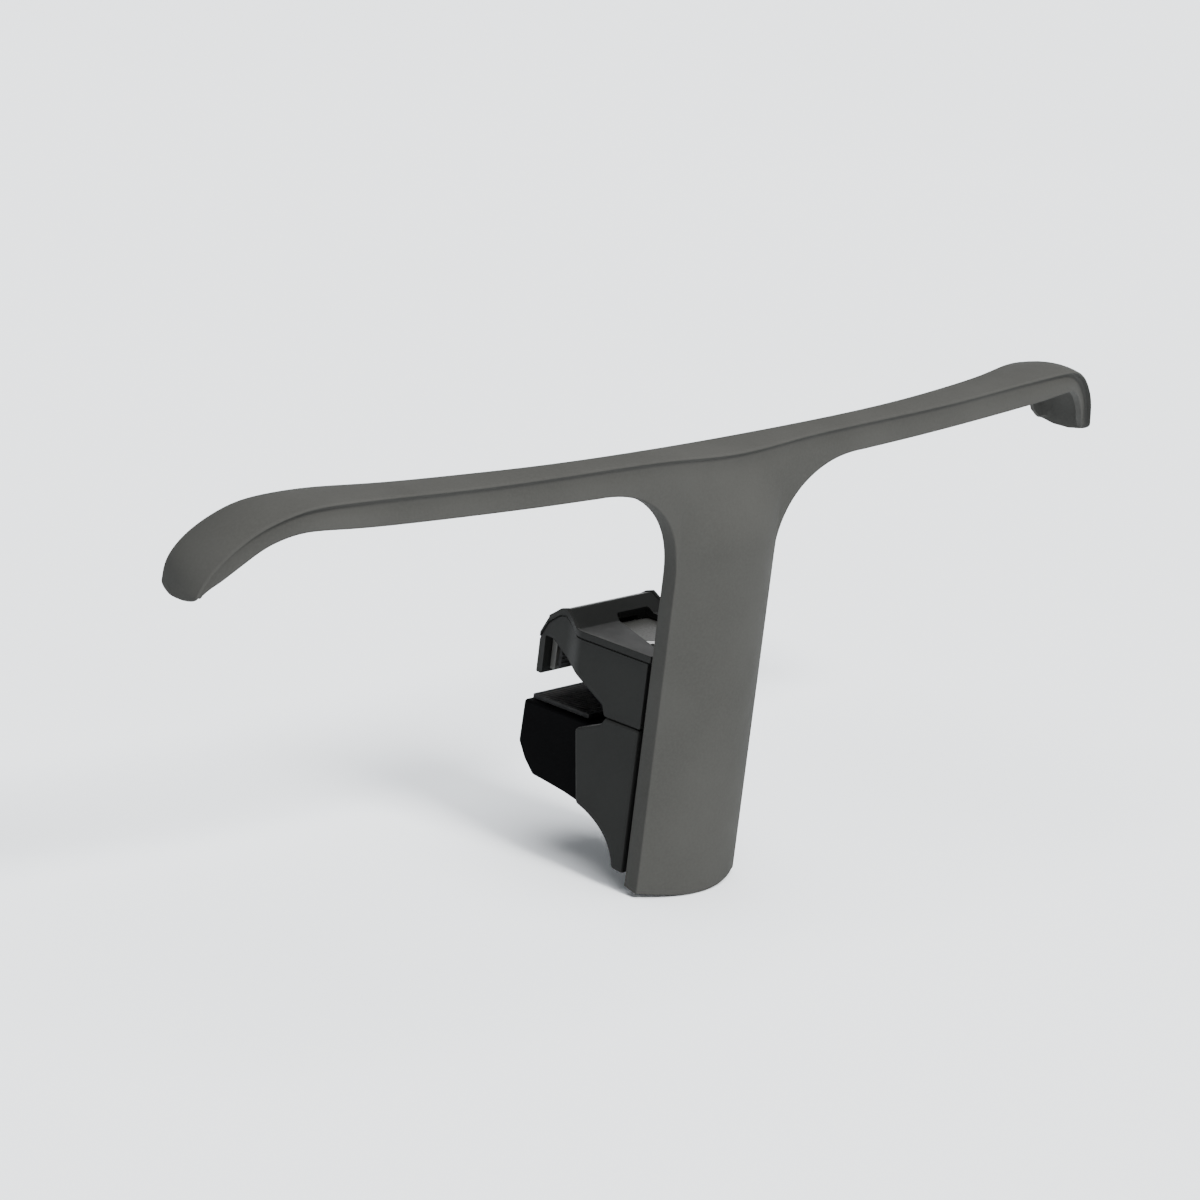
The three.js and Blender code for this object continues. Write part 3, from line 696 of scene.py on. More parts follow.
def stem_columns():
    """Open columns over the stem: the rear surface down to the foot, and the front plane back up."""
    upper, rear_lower, front_lower, front_upper = [], [], [], []
    limit = HALF_WIDTH - EDGE_ROUND
    for x in np.linspace(-limit, limit, STEM_COLUMNS + 1):
        section = ARMS.section(ARMS.length_at(x))
        crease = section[0]
        rows = top_rows(section)
        start = rows[-1]
        for k in range(1, REAR_STEPS + 1):
            z = start[2] + (WEB_FOOT - start[2]) * k / REAR_STEPS
            rows.append(rear_point(x, z, crease))
        upper.append(rows)
        y = rear_point(x, 0, crease)[1]
        foot = STEM_FOOT + FOOT_SLOPE * (y - STEM_REAR) + EDGE_ROUND
        front_foot = STEM_FOOT + FOOT_SLOPE * (STEM_FRONT - STEM_REAR) + EDGE_ROUND
        shares = np.linspace(0, 1, STEM_STEPS + 1)
        rear_lower.append([rear_point(x, WEB_FOOT + (foot - WEB_FOOT) * t, crease) for t in shares])
        drop = front_foot - WEB_FOOT
        front_lower.append([np.array([x, STEM_FRONT, WEB_FOOT + drop * t]) for t in shares])
        knee, tail = front_rows(section, x)
        base = np.array([x, STEM_FRONT, WEB_FOOT])
        front_upper.append([base] + line(base, knee, 6) + tail)
    return upper, rear_lower, front_lower, front_upper


def hanger_outer():
    skin = Skin()
    upper, rear_lower, front_lower, front_upper = stem_columns()
    for columns in (upper, rear_lower, front_lower, front_upper):
        skin.grid(columns)
    foot_edges = []
    for rear, front in zip(rear_lower, front_lower):
        x = rear[-1][0]
        outline_rear = (x, rear[-1][2] - EDGE_ROUND)
        outline_front = (x, front[-1][2] - EDGE_ROUND)
        foot_edges.append([rear[-1]] + flange(rear[-1], outline_rear, outline_front, front[-1][[0, 2]]))
    for side, column in ((-1, 0), (1, -1)):
        edge = side * HALF_WIDTH
        rows = []
        for k in range(STEM_STEPS + 1):
            rear, front = rear_lower[column][k], front_lower[column][k]
            drop = EDGE_ROUND if k == STEM_STEPS else 0
            strip = flange(rear, (edge, rear[2] - drop), (edge, front[2] - drop), front[[0, 2]])
            rows.append([rear] + strip)
        skin.grid(rows)
        foot_edges[column] = rows[-1]
        columns = [web_column(t, side) for t in np.linspace(0, math.pi / 2, WEB_COLUMNS + 1)]
        lengths = np.concatenate([
            np.linspace(ARMS.length_at(WEB_END + WEB_CLEAR), ARMS.end - TONGUE_RUN, ARM_COLUMNS)[:-1],
            np.linspace(ARMS.end - TONGUE_RUN, ARMS.end, TONGUE_COLUMNS),
            ARMS.end + TONGUE_ROUND * np.sin(np.linspace(0, TONGUE_TURN, END_COLUMNS))[1:],
        ])
        columns += [arm_column(side * u) for u in lengths]
        skin.grid(columns)
        skin.cap(columns[-1] + columns[-1][:1])
    skin.grid(foot_edges)
    return skin.build("hanger_moulding", join=0.01)


# ---- hanger: cavities ----
TONGUE_WALL = 1.8
CEILING_ROUND = 3.2
CAVITY_RINGS = 110
MOUTH_END = 1.4
MOUTH_FLARE = 3.0
BELOW_WALLS = 3
COLUMN_RINGS, COLUMN_POINTS = 40, 25


def arm_cavity(side):
    """The hollow under one arm: a rounded ceiling between both walls, open at the tongue's end."""
    skin = Skin()
    rings = []
    for u in [*np.linspace(0, ARMS.end, CAVITY_RINGS), ARMS.end + MOUTH_END]:
        crease, across, inward, width, rear, front, _ = ARMS.section(side * u)
        wall = WALL - (WALL - TONGUE_WALL) * eased(u / ARMS.end)
        rear_wall = wall + cove(rear * 0.6, crease[0]) * 0.5
        reach = max(width - wall, rear_wall + 0.4)
        round_at = min(CEILING_ROUND, (reach - rear_wall) / 2.2)
        if u > ARMS.end:
            reach += MOUTH_FLARE
            rear_wall -= MOUTH_FLARE
        ring = quarter((rear_wall, wall + round_at), (rear_wall, wall), (rear_wall + round_at, wall), 6)
        ring += quarter((reach - round_at, wall), (reach, wall), (reach, wall + round_at), 6)
        ring += [(reach, front + BELOW_WALLS), (rear_wall, rear + BELOW_WALLS)]
        rings.append([crease + across * p + inward * q for p, q in ring + ring[:1]])
    run_out = (np.mean(rings[-2], axis=0) - np.mean(rings[-4], axis=0))
    run_out *= 2 * TONGUE_ROUND / np.linalg.norm(run_out)
    rings.append([p + run_out for p in rings[-1]])
    skin.grid(rings)
    skin.cap(rings[0])
    skin.cap(rings[-1])
    return skin.build("cavity")


def stem_outline(inset, foot):
    """Outline of the stem and both fillet webs, moved into the material by inset."""
    half = [(HALF_WIDTH - inset, foot)]
    for turn in np.linspace(0, math.pi / 2, 25):
        along, down = fillet_shares(turn)
        half.append((WEB_END - (FILLET_WIDTH + inset) * along,
                     WEB_FOOT + (FILLET_HEIGHT + inset) * down))
    half.append((WEB_END, FILLET_TOP + inset + 1.2))
    return half + [(-x, z) for x, z in reversed(half)]


def column_cavity():
    """The hollow behind the swelling rear column."""
    skin = Skin()
    half = HALF_WIDTH - WALL
    rings = []
    for z in np.linspace(STEM_FOOT + WALL, FILLET_TOP - 6, COLUMN_RINGS):
        ring = []
        for x in np.linspace(-half, half, COLUMN_POINTS):
            ring.append((x, STEM_REAR + WALL - bulge(x * HALF_WIDTH / half, z), z))
        ring += [(half, STEM_REAR + WALL + 1, z), (-half, STEM_REAR + WALL + 1, z), ring[0]]
        rings.append(ring)
    skin.grid(rings)
    skin.cap(rings[0])
    skin.cap(rings[-1])
    return skin.build("cavity")


def stem_screw_places():
    return [(x, z) for z in STEM_SCREW_Z for x in (-STEM_SCREW_X, STEM_SCREW_X)]


# Bosses inside the stem: radius and back of the boss, then of its hole.
STEM_BOSS = (4.3, -50.5, 3.0, -49.5)
COVER_BOSS = (3.6, -53.0, 1.6, -52.2)
BOSS_FRONT = -44.5


def add_boss(obj, at, boss):
    radius, back, hole, hole_back = boss
    combine(obj, bar("boss", radius, "y", at, back, BOSS_FRONT), "UNION")
    cut(obj, bar("hole", hole, "y", at, hole_back, BOSS_FRONT + 1.5))


def hanger_moulding():
    obj = hanger_outer()
    cut(obj, arm_cavity(-1), arm_cavity(1))
    pocket = stem_outline(WALL, STEM_FOOT + WALL + 1)
    cut(obj, prism("cavity", pocket, "y", STEM_REAR + WALL, STEM_FRONT + 2))
    cut(obj, column_cavity())
    for at in stem_screw_places():
        add_boss(obj, at, STEM_BOSS)
    for z in COVER_SCREW_Z.values():
        add_boss(obj, (0, z), COVER_BOSS)
    return smooth(obj, 40)


add_piece(hanger_moulding(), "hanger_frame", "bracket", HANGER_PLASTIC)


# ---- stem cover ----
COVER_HALF = 21.2
COVER_BACK, COVER_FRONT = -44.2, -42.2
COVER_FOOT, COVER_TOP = -67.0, 56.0
COVER_CORNER = 3.0
COVER_HOLE, COVER_SINK, SINK_FLOOR = 1.8, 3.3, 0.7


def rounded_outline(low, high, radius, steps=6):
    """A rectangle with rounded corners, in the plane's own two axes."""
    (x0, y0), (x1, y1) = low, high
    centres = [(x1 - radius, y1 - radius, 0), (x0 + radius, y1 - radius, 90),
               (x0 + radius, y0 + radius, 180), (x1 - radius, y0 + radius, 270)]
    return [p for x, y, start in centres for p in arc(x, y, radius, start, start + 90, steps)]


def stem_cover():
    outline = rounded_outline((-COVER_HALF, COVER_FOOT), (COVER_HALF, COVER_TOP), COVER_CORNER)
    obj = bevel(prism("stem_cover_plate", outline, "y", COVER_BACK, COVER_FRONT), 0.35, 2)
    for x, z in stem_screw_places():
        cut(obj, bar("hole", STEM_HOLE + 0.1, "y", (x, z), COVER_BACK - 1, COVER_FRONT + 1))
    for z in COVER_SCREW_Z.values():
        cut(obj, bar("hole", COVER_HOLE, "y", (0, z), COVER_BACK - 1, COVER_FRONT + 1))
        cut(obj, bar("sink", COVER_SINK, "y", (0, z), COVER_BACK + SINK_FLOOR, COVER_FRONT + 1))
    return smooth(obj)


add_piece(stem_cover(), "stem_front_cover", "bracket", HANGER_PLASTIC)


# ---- steel core ----
CORE_HALF = 17.0
CORE_FOOT = -60.0
CORE_BEND = 4.0
LIP_FRONT = 4.8
LIP_FOOT = -12.0
SHROUD_SCREW_LOWER = (10.0, -55.0)
SHROUD_SCREW_UPPER = (12.0, -5.0)
CLAMP_HEAD = 4.6
CLAMP_SHANK = 2.4


def steel_strap():
    inner = CORE_BEND - STEEL
    back_y, lip_y, top_z = CORE_BACK + CORE_BEND, LIP_FRONT - CORE_BEND, CORE_TOP - CORE_BEND
    outline = [(CORE_BACK, CORE_FOOT), (CORE_BACK + STEEL, CORE_FOOT)]
    outline += arc(back_y, top_z, inner, 180, 90, 8) + arc(lip_y, top_z, inner, 90, 0, 8)
    outline += [(LIP_FRONT - STEEL, LIP_FOOT), (LIP_FRONT, LIP_FOOT)]
    outline += arc(lip_y, top_z, CORE_BEND, 0, 90, 10) + arc(back_y, top_z, CORE_BEND, 90, 180, 10)
    obj = bevel(prism("steel_strap", outline, "x", -CORE_HALF, CORE_HALF), 0.25, 2, angle=50)
    for x, z in stem_screw_places():
        cut(obj, bar("hole", STEM_HOLE, "y", (x, z), CORE_BACK - 1, CORE_BACK + STEEL + 1))
    for side in SIDES.values():
        x, z = SHROUD_SCREW_LOWER
        cut(obj, bar("hole", SHROUD_HOLE, "y", (side * x, z), CORE_BACK - 1, CORE_BACK + STEEL + 1))
        x, y = SHROUD_SCREW_UPPER
        cut(obj, bar("hole", SHROUD_HOLE, "z", (side * x, y), 0, CORE_TOP + 1))
        wide, narrow = CLAMP_HEAD + 0.5, CLAMP_SHANK + 0.3
        low, high = -STEEL - 0.1, 0.2
        seat = [(0, low), (narrow, low), (narrow, -STEEL), (wide, 0), (wide, high), (0, high)]
        cut(obj, placed(turned("seat", seat), side * CLAMP_X, CLAMP_Y, CORE_TOP))
    return smooth(obj, 30)


add_piece(steel_strap(), "steel_core", "bracket", CORE_COAT)


# ---- upper shroud ----
NOSE_BROW = 4.6
NOSE_WALL = 2.6
PLATE_END = -41.6
TOP_LINE = [(PLATE_END, PLATE_TOP), (HUMP_START, PLATE_TOP), (HUMP_CREST, HUMP_TOP), (-0.5, 9.7),
            (NOSE_BROW, PLATE_TOP), (NOSE_FRONT, 0.0)]
WINDOW_OUTLINE = [(-14.0, -34.5), (14.0, -34.5), (14.0, -7.3), (-1.6, -7.3)]
INSIDE_HALF = HALF_WIDTH - WALL
HUMP_HALF = 21.5
BEAD_WIDE = 1.3
BEAD_TALL = 0.45
GROOVE_BELOW = 1.7
GROOVE_TALL = 0.7
GROOVE_DEEP = 0.9
SIDE_STEP = 0.45
DRAW_IN = 9.0
BEYOND_X = 30.0
BEYOND_Z = (-60.0, 40.0)
SIDE_WALL = 2.2
HOLLOW_HALF = 17.0
# Floor rib: its front and back, and its heights above the rail's line.
RIB_FRONT, RIB_BACK, RIB_LOW, RIB_HIGH = -8.0, -17.0, 1.9, 4.0
# Screw boss: radius and top of the boss, then of its hole.
SHROUD_BOSS = (3.4, 6.8, 1.9, 6.3)


def rail_z(y):
    return RAIL_Z + (y - RAIL_Y) * RAIL_SLOPE


def shroud_plan(inset):
    """The upper shroud seen from above: straight sides that draw in over the hump."""
    edge, start = HALF_WIDTH - inset, HUMP_START - 3.0
    half = [(edge, -50), (edge, start)]
    for t in np.linspace(0, 1, 7):
        half.append((edge - (HALF_WIDTH - HUMP_HALF) * eased(t), start + DRAW_IN * t))
    half.append((HUMP_HALF - 1.5 - inset, NOSE_FRONT + 1))
    return half + [(-x, y) for x, y in reversed(half)]


def lowered(outline, drop):
    return [(y, z - drop) for y, z in outline]


def side_cutter(band, inset):
    """Everything in a band of [y, z] points that lies outside the plan moved in by inset."""
    cutter = prism("cutter", band, "x", -BEYOND_X, BEYOND_X)
    return combine(cutter, prism("core", shroud_plan(inset), "z", *BEYOND_Z), "DIFFERENCE")


def upper_body():
    side = [(SHROUD_BACK, SEAM), (-26.3, SEAM)]
    side += arc(-26.0, SEAM + 1.0, 1.0, -70, -10, 4) + [(-24, rail_z(-24)), (RAIL_Y, RAIL_Z)]
    nose_back = NOSE_FRONT - NOSE_WALL
    side += [(nose_back, RAIL_Z), (nose_back, NOSE_FOOT), (NOSE_FRONT, NOSE_FOOT)]
    side += TOP_LINE[::-1] + [(PLATE_END, PLATE_UNDER), (SHROUD_BACK, PLATE_UNDER)]
    obj = prism("bracket_upper_shell", side, "x", -HALF_WIDTH, HALF_WIDTH)
    combine(obj, prism("plan", shroud_plan(0), "z", *BEYOND_Z), "INTERSECT")
    return bevel(obj, 0.4, 2)


def shroud_bead():
    """The raised rim along both upper edges of the plate and of the hump."""
    crest = TOP_LINE[:-1]
    band = lowered(crest, 0.6) + [(y, z + BEAD_TALL) for y, z in reversed(crest)]
    bead = side_cutter(band, BEAD_WIDE)
    combine(bead, prism("plan", shroud_plan(0), "z", *BEYOND_Z), "INTERSECT")
    return bevel(bead, 0.22, 2)


def upper_shroud():
    obj = upper_body()
    below = lowered(TOP_LINE, GROOVE_BELOW)
    foot = [(NOSE_FRONT, -30), (PLATE_END, -30)]
    cut(obj, side_cutter(below + foot, SIDE_STEP))
    groove = below + lowered(TOP_LINE, GROOVE_BELOW + GROOVE_TALL)[::-1]
    cut(obj, side_cutter(groove, GROOVE_DEEP))
    combine(obj, shroud_bead(), "UNION")
    front = NOSE_FRONT - NOSE_WALL
    inside = [(-43, SEAM - 1), (front, SEAM - 1), (front, PLATE_UNDER), (-43, PLATE_UNDER)]
    hollow = [(HUMP_START + 2, PLATE_UNDER - 1), (NOSE_BROW - 1, PLATE_UNDER - 1),
              (NOSE_BROW - 1.6, PLATE_UNDER), (-1, 7.2), (HUMP_CREST - 0.5, 8),
              (HUMP_START + 2, PLATE_UNDER + 1)]
    cut(obj, prism("cavity", inside, "x", SIDE_WALL - HUMP_HALF, HUMP_HALF - SIDE_WALL))
    cut(obj, prism("cavity", hollow, "x", -HOLLOW_HALF, HOLLOW_HALF))
    corners = ((RIB_FRONT, RIB_LOW), (RIB_BACK, RIB_LOW), (RIB_BACK, RIB_HIGH), (RIB_FRONT, RIB_HIGH))
    floor = [(y, rail_z(y) + above) for y, above in corners]
    combine(obj, bevel(prism("floor_rib", floor, "x", -INSIDE_HALF, INSIDE_HALF), 0.3, 2), "UNION")
    boss, boss_top, hole, hole_top = SHROUD_BOSS
    for side in SIDES.values():
        at = (side * SHROUD_SCREW_UPPER[0], SHROUD_SCREW_UPPER[1])
        combine(obj, bar("boss", boss, "z", at, PLATE_UNDER, boss_top), "UNION")
        cut(obj, bar("hole", hole, "z", at, 0, hole_top))
    window = prism("window", WINDOW_OUTLINE, "z", PLATE_UNDER - 1, HUMP_TOP + 1)
    cut(obj, bevel(window, 1.0, 3, angle=20))
    return smooth(obj, 28)


add_piece(upper_shroud(), "bracket_upper", "bracket", SHROUD_PLASTIC)


# ---- lower shroud ----
LOWER_FOOT = -66.4
CORBEL = [np.array(p) for p in ((-18.0, -49.4), (-33.6, -53.9), (-35.5, -65.8))]
LOWER_CHAMFER = 1.0
SCREW_WALL_FRONT, SCREW_WALL_TOP = -37.0, -50.0


def corbel(inset, steps=18):
    """The corbel's curve from the front edge in to the stem's foot, moved inwards by inset."""
    points = []
    for t in np.linspace(0, 1, steps + 1):
        at = CORBEL[0] * (1 - t) ** 2 + CORBEL[1] * 2 * t * (1 - t) + CORBEL[2] * t * t
        along = (CORBEL[1] - CORBEL[0]) * (1 - t) + (CORBEL[2] - CORBEL[1]) * t
        along /= np.linalg.norm(along)
        points.append((at[0] + along[1] * inset, at[1] - along[0] * inset))
    return points


def lower_shroud():
    side = [(SHROUD_BACK, SEAM - GAP), (SHROUD_BACK, LOWER_FOOT)] + corbel(0)[::-1]
    side += [(-14.2, -25.3), (-24.3, -21), (-26, SEAM - GAP)]
    obj = prism("bracket_lower_shell", side, "x", -HALF_WIDTH, HALF_WIDTH)
    bevel(obj, LOWER_CHAMFER, 2, angle=40)
    inside = [(-43, -10), (-43, LOWER_FOOT + WALL), (-38, LOWER_FOOT + WALL)]
    inside += [p for p in corbel(WALL)[::-1] if p[1] > LOWER_FOOT + WALL] + [(-10, -46), (-10, -10)]
    cut(obj, prism("cavity", inside, "x", -INSIDE_HALF, INSIDE_HALF))
    wall_back = CORE_BACK + STEEL + GAP
    wall = block("screw_wall", (-INSIDE_HALF - 0.5, INSIDE_HALF + 0.5),
                 (wall_back, SCREW_WALL_FRONT), (LOWER_FOOT + 1, SCREW_WALL_TOP))
    combine(obj, wall, "UNION")
    for side in SIDES.values():
        x, z = SHROUD_SCREW_LOWER
        cut(obj, bar("hole", SHROUD_HOLE, "y", (side * x, z), -41, SCREW_WALL_FRONT + 2))
    return smooth(obj, 24)


add_piece(lower_shroud(), "bracket_lower", "bracket", SHROUD_PLASTIC)


# ---- jaw ----
JAW_HALF = 18.5
JAW_BACK = -34.2
CARRIAGE_FOOT = -36.5
TOE_BACK = -17.4
JAW_WALL = 2.6
WEB_HALF = 1.2
NUT_RADIUS = 4.62
NUT_TOP, NUT_TALL = -30.5, 4.0


def clamp_jaw():
    side = [(JAW_BACK, JAW_TOP), (JAW_BACK, CARRIAGE_FOOT), (TOE_BACK, CARRIAGE_FOOT), (TOE_BACK, -50.4),
            (-14.1, -51.2), (-7.9, -49.9), (-0.3, -48.9), (5.9, -48.2), (10, -43.9), (13.1, -38.7),
            (12.6, JAW_TOP)]
    obj = bevel(prism("jaw_moulding", side, "x", -JAW_HALF, JAW_HALF), 1.0, 3, angle=14)
    toe = TOE_BACK + JAW_WALL
    hollow = [(toe, -28), (toe, -60), (8, -60), (8, -44), (10.2, -38), (10, -28)]
    for low, high in ((JAW_WALL - JAW_HALF, -WEB_HALF), (WEB_HALF, JAW_HALF - JAW_WALL)):
        cut(obj, bevel(prism("cavity", hollow, "x", low, high), 0.6, 2))
    for side in SIDES.values():
        at = (side * CLAMP_X, CLAMP_Y)
        cut(obj, prism("pocket", hexagon(NUT_RADIUS + GAP, at), "z", CARRIAGE_FOOT - 1, NUT_TOP + GAP))
        cut(obj, bar("bore", CLAMP_SHANK + 0.4, "z", at, CARRIAGE_FOOT - 1, JAW_TOP + 1))
    return smooth(obj, 30)


add_piece(clamp_jaw(), "clamp_jaw", "jaw", JAW_PLASTIC_AND_PAINTED_SHADE)


# ---- rubber pads ----
PAD_HALF = 16.0
RIB_PITCH = 1.3
RIB_DEEP = 0.22
RIB_FOOT, RIB_CREST = 0.3, 0.12


def ribbed_pad(name, start, end, thick):
    """A pad whose gripping face runs from start to end in [y, z], with fine ribs along X."""
    start, end = np.array(start, float), np.array(end, float)
    length = np.linalg.norm(end - start)
    along = (end - start) / length
    deep = np.array([-along[1], along[0]])
    count = max(int(length / RIB_PITCH), 2)
    pitch = length / count
    face = [start]
    for k in range(1, count):
        middle = start + along * pitch * k
        face += [middle - along * RIB_FOOT, middle - along * RIB_CREST + deep * RIB_DEEP,
                 middle + along * RIB_CREST + deep * RIB_DEEP, middle + along * RIB_FOOT]
    face += [end, end + deep * thick, start + deep * thick]
    pad = prism(name, [tuple(p) for p in face], "x", -PAD_HALF, PAD_HALF)
    return smooth(bevel(pad, 0.08, 2, angle=35), 25)


PADS = {
    "hook_top_pad": ("bracket", (-1.8, 0), (1.8, 0), 1.2),
    "saddle_pad": ("bracket", (-16.8, rail_z(-16.8) + 0.1), (-8, rail_z(-8) + 0.1), 1.3),
    "nose_pad": ("bracket", (1.1, -11), (1.1, -2.4), -1.2),
    "jaw_pad": ("jaw", (-13, -22.5), (11, -22.5), -1.5),
}
for pad, (body, start, end, thick) in PADS.items():
    add_piece(ribbed_pad(pad + "_rubber", start, end, thick), pad, body, RUBBER)


# ---- screws, nuts, collars and inserts ----
CLAMP_FOOT = -47.5
THREAD_PITCH = 0.8
THREAD_DEEP = 0.42
THREAD_TOP = -20.0
SCREW_SIDES = 28
INSERT_BACK = -49.2
CLAMP_SOCKET, CLAMP_SOCKET_DEEP = 1.75, 2.4
# Collar: outer and inner radius, foot and top.
COLLAR = (4.2, CLAMP_SHANK + 0.1, 0.1, 1.2)
# Pan-head screws: radius and height of the head, then radius and length of the shank.
STEM_PAN = (3.8, 2.3, 1.95, 8.2)
COVER_PAN = (3.0, 1.1, 1.4, 6)
LOWER_PAN = (3.4, 2.1, 1.8, 4.2)
UPPER_PAN = (2.7, 1.8, 1.6, 4.6)


def with_socket(obj, radius, top, deep):
    """Cuts a hexagonal socket with a drilled point into the head of a screw on the Z axis."""
    cut(obj, prism("socket", hexagon(radius), "z", top - deep, top + 1))
    point = [(0, top - deep - radius * 0.5), (radius * 0.8, top - deep + 0.01), (0, top - deep + 0.01)]
    return cut(obj, turned("point", point, 24))


def thread_rows(radius, low, high, sides, steps=8):
    """Rows of a helical thread from low to high, running out at its foot."""
    rows = []
    count = int((high - low) / THREAD_PITCH * steps)
    for z in np.linspace(low, high, count + 1):
        row = []
        for angle in turns(sides):
            phase = (z / THREAD_PITCH - angle / (2 * math.pi)) % 1
            ridge = min(max(1.35 - abs(phase - 0.5) * 4, 0), 1)
            start = min(max((high - z) / THREAD_PITCH, 0), 1)
            r = radius - THREAD_DEEP * (1 - ridge) * start
            row.append(around(r, angle, z))
        rows.append(row)
    return rows


def clamp_screw(name):
    long = CORE_TOP - CLAMP_FOOT

    def ring(radius, z):
        return [around(radius, angle, z) for angle in turns(SCREW_SIDES)]

    skin = Skin()
    tip = thread_rows(CLAMP_SHANK, 1 - long, THREAD_TOP, SCREW_SIDES)
    shank = [ring(CLAMP_SHANK, -STEEL), ring(CLAMP_HEAD - 0.1, -0.35), ring(CLAMP_HEAD, -0.22),
             ring(CLAMP_HEAD, -0.08), ring(CLAMP_HEAD - 0.1, 0), ring(0, 0)]
    skin.grid([ring(0, -long), ring(CLAMP_SHANK - 0.7, -long)] + tip + shank)
    return smooth(with_socket(skin.build(name), CLAMP_SOCKET, 0, CLAMP_SOCKET_DEEP), 35)


def pan_screw(name, head, tall, shank, long):
    profile = [(0, -long), (shank - 0.4, -long), (shank, 0.5 - long), (shank, -0.15), (shank + 0.15, 0),
               (head - 0.12, 0), (head, 0.12), (head, tall * 0.42)]
    for t in np.linspace(0.15, 1, 7):
        turn = t * math.pi / 2
        profile.append((head * (0.5 + 0.5 * math.cos(turn)), tall * (0.42 + 0.58 * math.sin(turn))))
    profile.append((0, tall))
    return smooth(with_socket(turned(name, profile, 32), shank * 0.68, tall, tall * 0.6), 35)


def clamp_nut(name):
    low, high = NUT_TOP - NUT_TALL, NUT_TOP
    obj = prism(name, hexagon(NUT_RADIUS), "z", low, high)
    flat = NUT_RADIUS * 0.9
    ease = 0.45
    profile = [(0, low), (flat, low), (NUT_RADIUS, low + ease), (NUT_RADIUS, high - ease), (flat, high),
               (0, high)]
    combine(obj, turned("crown", profile, 48), "INTERSECT")
    return smooth(cut(obj, bar("bore", CLAMP_SHANK + 0.1, "z", (0, 0), low - 1, high + 1)), 25)


def tube(name, outer, inner, low, high, edge=0.15):
    """A short ring on the Z axis with eased rims."""
    profile = [(inner, low + edge), (inner + edge, low), (outer - edge, low), (outer, low + edge),
               (outer, high - edge), (outer - edge, high), (inner + edge, high), (inner, high - edge),
               (inner, low + edge)]
    return smooth(turned(name, profile, 40), 50)


def brass_insert(name):
    """A knurled insert on the Z axis, open at its front."""
    profile = [(0, 1.0), (2.1, 1.0), (2.1, 4.4), (2.25, 4.5), (2.7, 4.5), (2.85, 4.35), (2.85, 3.4),
               (2.6, 3.2), (2.6, 2.8), (2.85, 2.6), (2.85, 0.2), (2.6, 0), (0, 0)]
    knurled, tooth_deep = 2.8, 0.12
    rows = []
    for i, angle in enumerate(turns(96)):
        tooth = tooth_deep if i % 4 < 2 else 0.0
        rows.append([around(r - tooth * (r > knurled), angle, z) for r, z in profile])
    skin = Skin()
    skin.grid(rows)
    return smooth(skin.build(name), 30)


def add_steel(obj, node, body, *place):
    add_piece(placed(obj, *place), node, body, ZINC)


def add_pan(node, size, *place):
    add_steel(pan_screw(f"{node}_pan", *size), node, "bracket", *place)


SEAT_FRONT = CORE_BACK + STEEL + GAP
for side, sign in SIDES.items():
    body, x = f"{side}_screw", sign * CLAMP_X
    screw = clamp_screw(f"clamp_screw_{side}_turned")
    add_steel(screw, f"clamp_screw_{side}", body, x, CLAMP_Y, CORE_TOP)
    collar = tube(f"screw_collar_{side}_ring", *COLLAR)
    add_steel(collar, f"screw_collar_{side}", body, x, CLAMP_Y, 0)
    add_steel(clamp_nut(f"clamp_nut_{side}_hex"), f"clamp_nut_{side}", "jaw", x, CLAMP_Y, 0)
    x, z = SHROUD_SCREW_LOWER
    add_pan(f"shroud_screw_lower_{side}", LOWER_PAN, sign * x, SCREW_WALL_FRONT + GAP, z, "seat")
    x, y = SHROUD_SCREW_UPPER
    add_pan(f"shroud_screw_upper_{side}", UPPER_PAN, sign * x, y, CORE_TOP - STEEL - GAP, "down")

for number, (x, z) in enumerate(stem_screw_places(), 1):
    insert = placed(brass_insert(f"stem_insert_{number}_knurled"), x, INSERT_BACK, z, "seat")
    add_piece(insert, f"stem_insert_{number}", "bracket", BRASS)
    add_pan(f"stem_screw_{number}", STEM_PAN, x, SEAT_FRONT, z, "seat")

for place, z in COVER_SCREW_Z.items():
    add_pan(f"cover_screw_{place}", COVER_PAN, 0, COVER_BACK + 1, z, "seat")


# ---- stage, light and camera ----
CAMERA_PLACE = (-1154.4, -950.5, 450.3)
CAMERA_RIGHT = (0.65782, -0.74427, 0.11547)
CAMERA_UP = (0.13995, 0.27142, 0.95223)
CAMERA_LENS = 145.9
SENSOR = 36.0
FLOOR = -72.4
FLOOR_HALF = 12000.0
WORLD_COLOUR = (0.93, 0.96, 1.0, 1)
WORLD_STRENGTH = 0.32
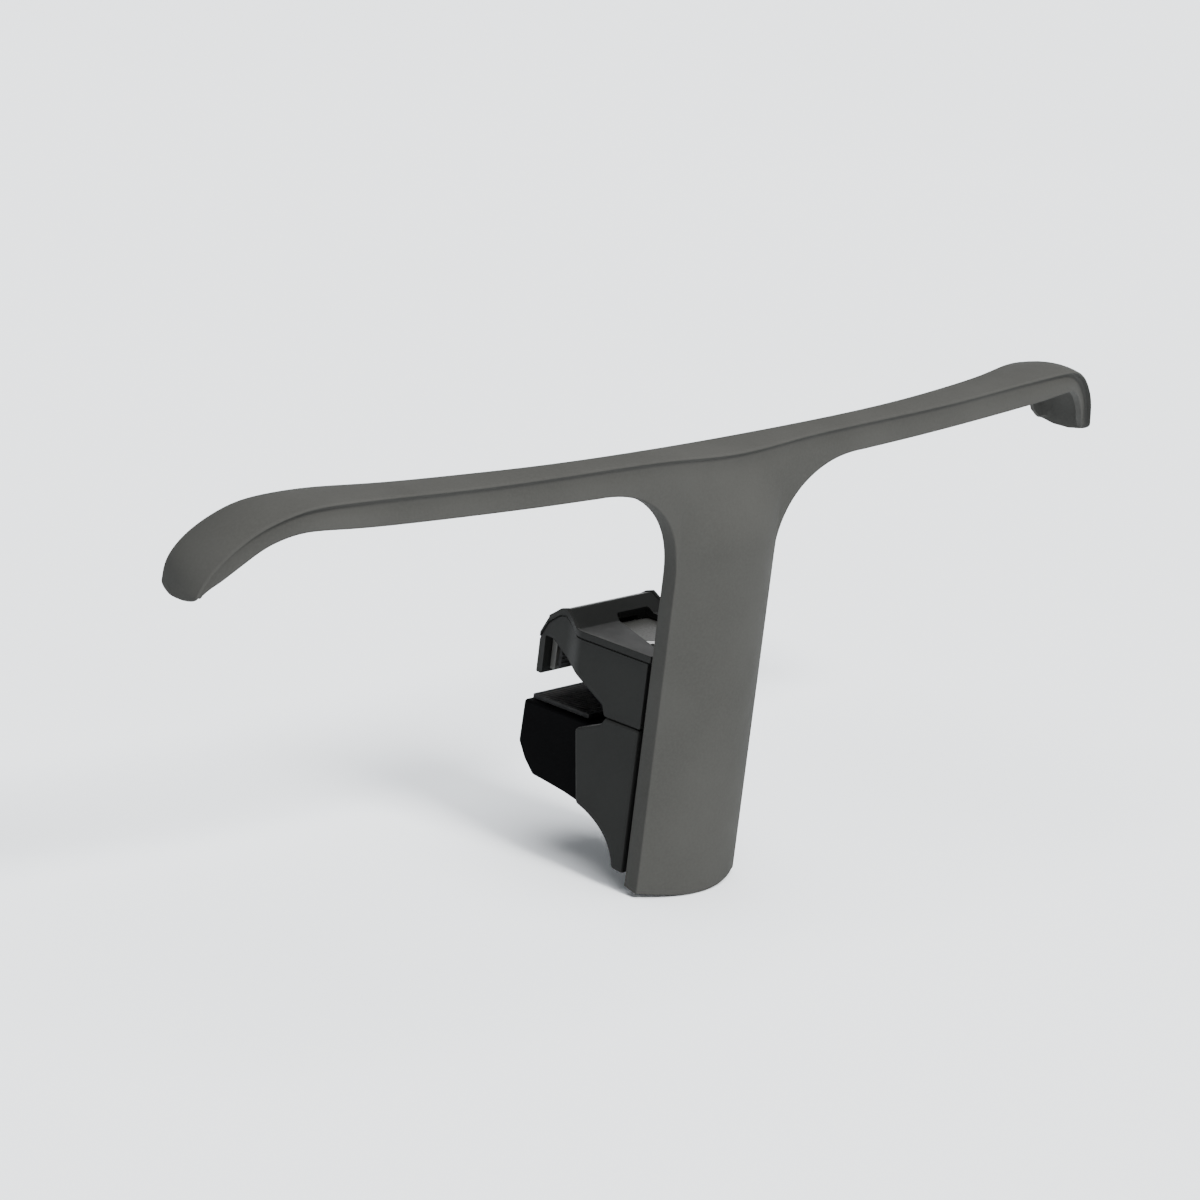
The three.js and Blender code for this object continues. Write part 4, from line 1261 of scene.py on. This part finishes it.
# Distant lights: where each shines from, its strength, how wide it looks in degrees, and its colour.
SUNS = {
    "key": ((-0.03, -0.68, 0.70), 5.7, 16, (1.0, 0.99, 0.97)),
    "front_fill": ((0.74, 0.61, 0.30), 0.5, 40, (1.0, 1.0, 1.0)),
    "rear_fill": ((0.0, -1.0, 0.12), 0.8, 30, (1.0, 0.99, 0.98)),
    "overhead": ((0.0, -0.05, 1.0), 4.2, 60, (0.98, 0.99, 1.0)),
}


def add_camera():
    data = bpy.data.cameras.new("camera")
    data.lens = CAMERA_LENS
    data.sensor_width = SENSOR
    data.clip_end = 100
    camera = linked("camera", data)
    right = Vector(CAMERA_RIGHT).normalized()
    back = right.cross(Vector(CAMERA_UP)).normalized()
    up = back.cross(right)
    camera.matrix_world = Matrix((
        (right.x, up.x, back.x, CAMERA_PLACE[0] * MM),
        (right.y, up.y, back.y, CAMERA_PLACE[1] * MM),
        (right.z, up.z, back.z, CAMERA_PLACE[2] * MM),
        (0, 0, 0, 1),
    ))
    bpy.context.scene.camera = camera


def add_sun(name, source, strength, spread, colour):
    data = bpy.data.lights.new(name, "SUN")
    data.energy = strength
    data.angle = math.radians(spread)
    data.color = colour
    linked(name, data).rotation_euler = (-Vector(source)).to_track_quat("-Z", "Y").to_euler()


def add_stage():
    signs = ((-1, -1), (1, -1), (1, 1), (-1, 1))
    corners = [(x * FLOOR_HALF, y * FLOOR_HALF, FLOOR) for x, y in signs]
    floor = mesh_object("floor", corners, [(0, 1, 2, 3)])
    shader = Shader("pale_floor", specular=0.2)
    shader.colour(shader.ramp(shader.noise(900), (0.86, 0.89, 0.92), (0.88, 0.91, 0.94)))
    shader.shader.inputs["Roughness"].default_value = 0.8
    floor.data.materials.append(shader.material)
    world = bpy.data.worlds.new("studio")
    world.use_nodes = True
    background = world.node_tree.nodes["Background"]
    background.inputs["Color"].default_value = WORLD_COLOUR
    background.inputs["Strength"].default_value = WORLD_STRENGTH
    bpy.context.scene.world = world


add_camera()
add_stage()
for sun, values in SUNS.items():
    add_sun(sun, *values)
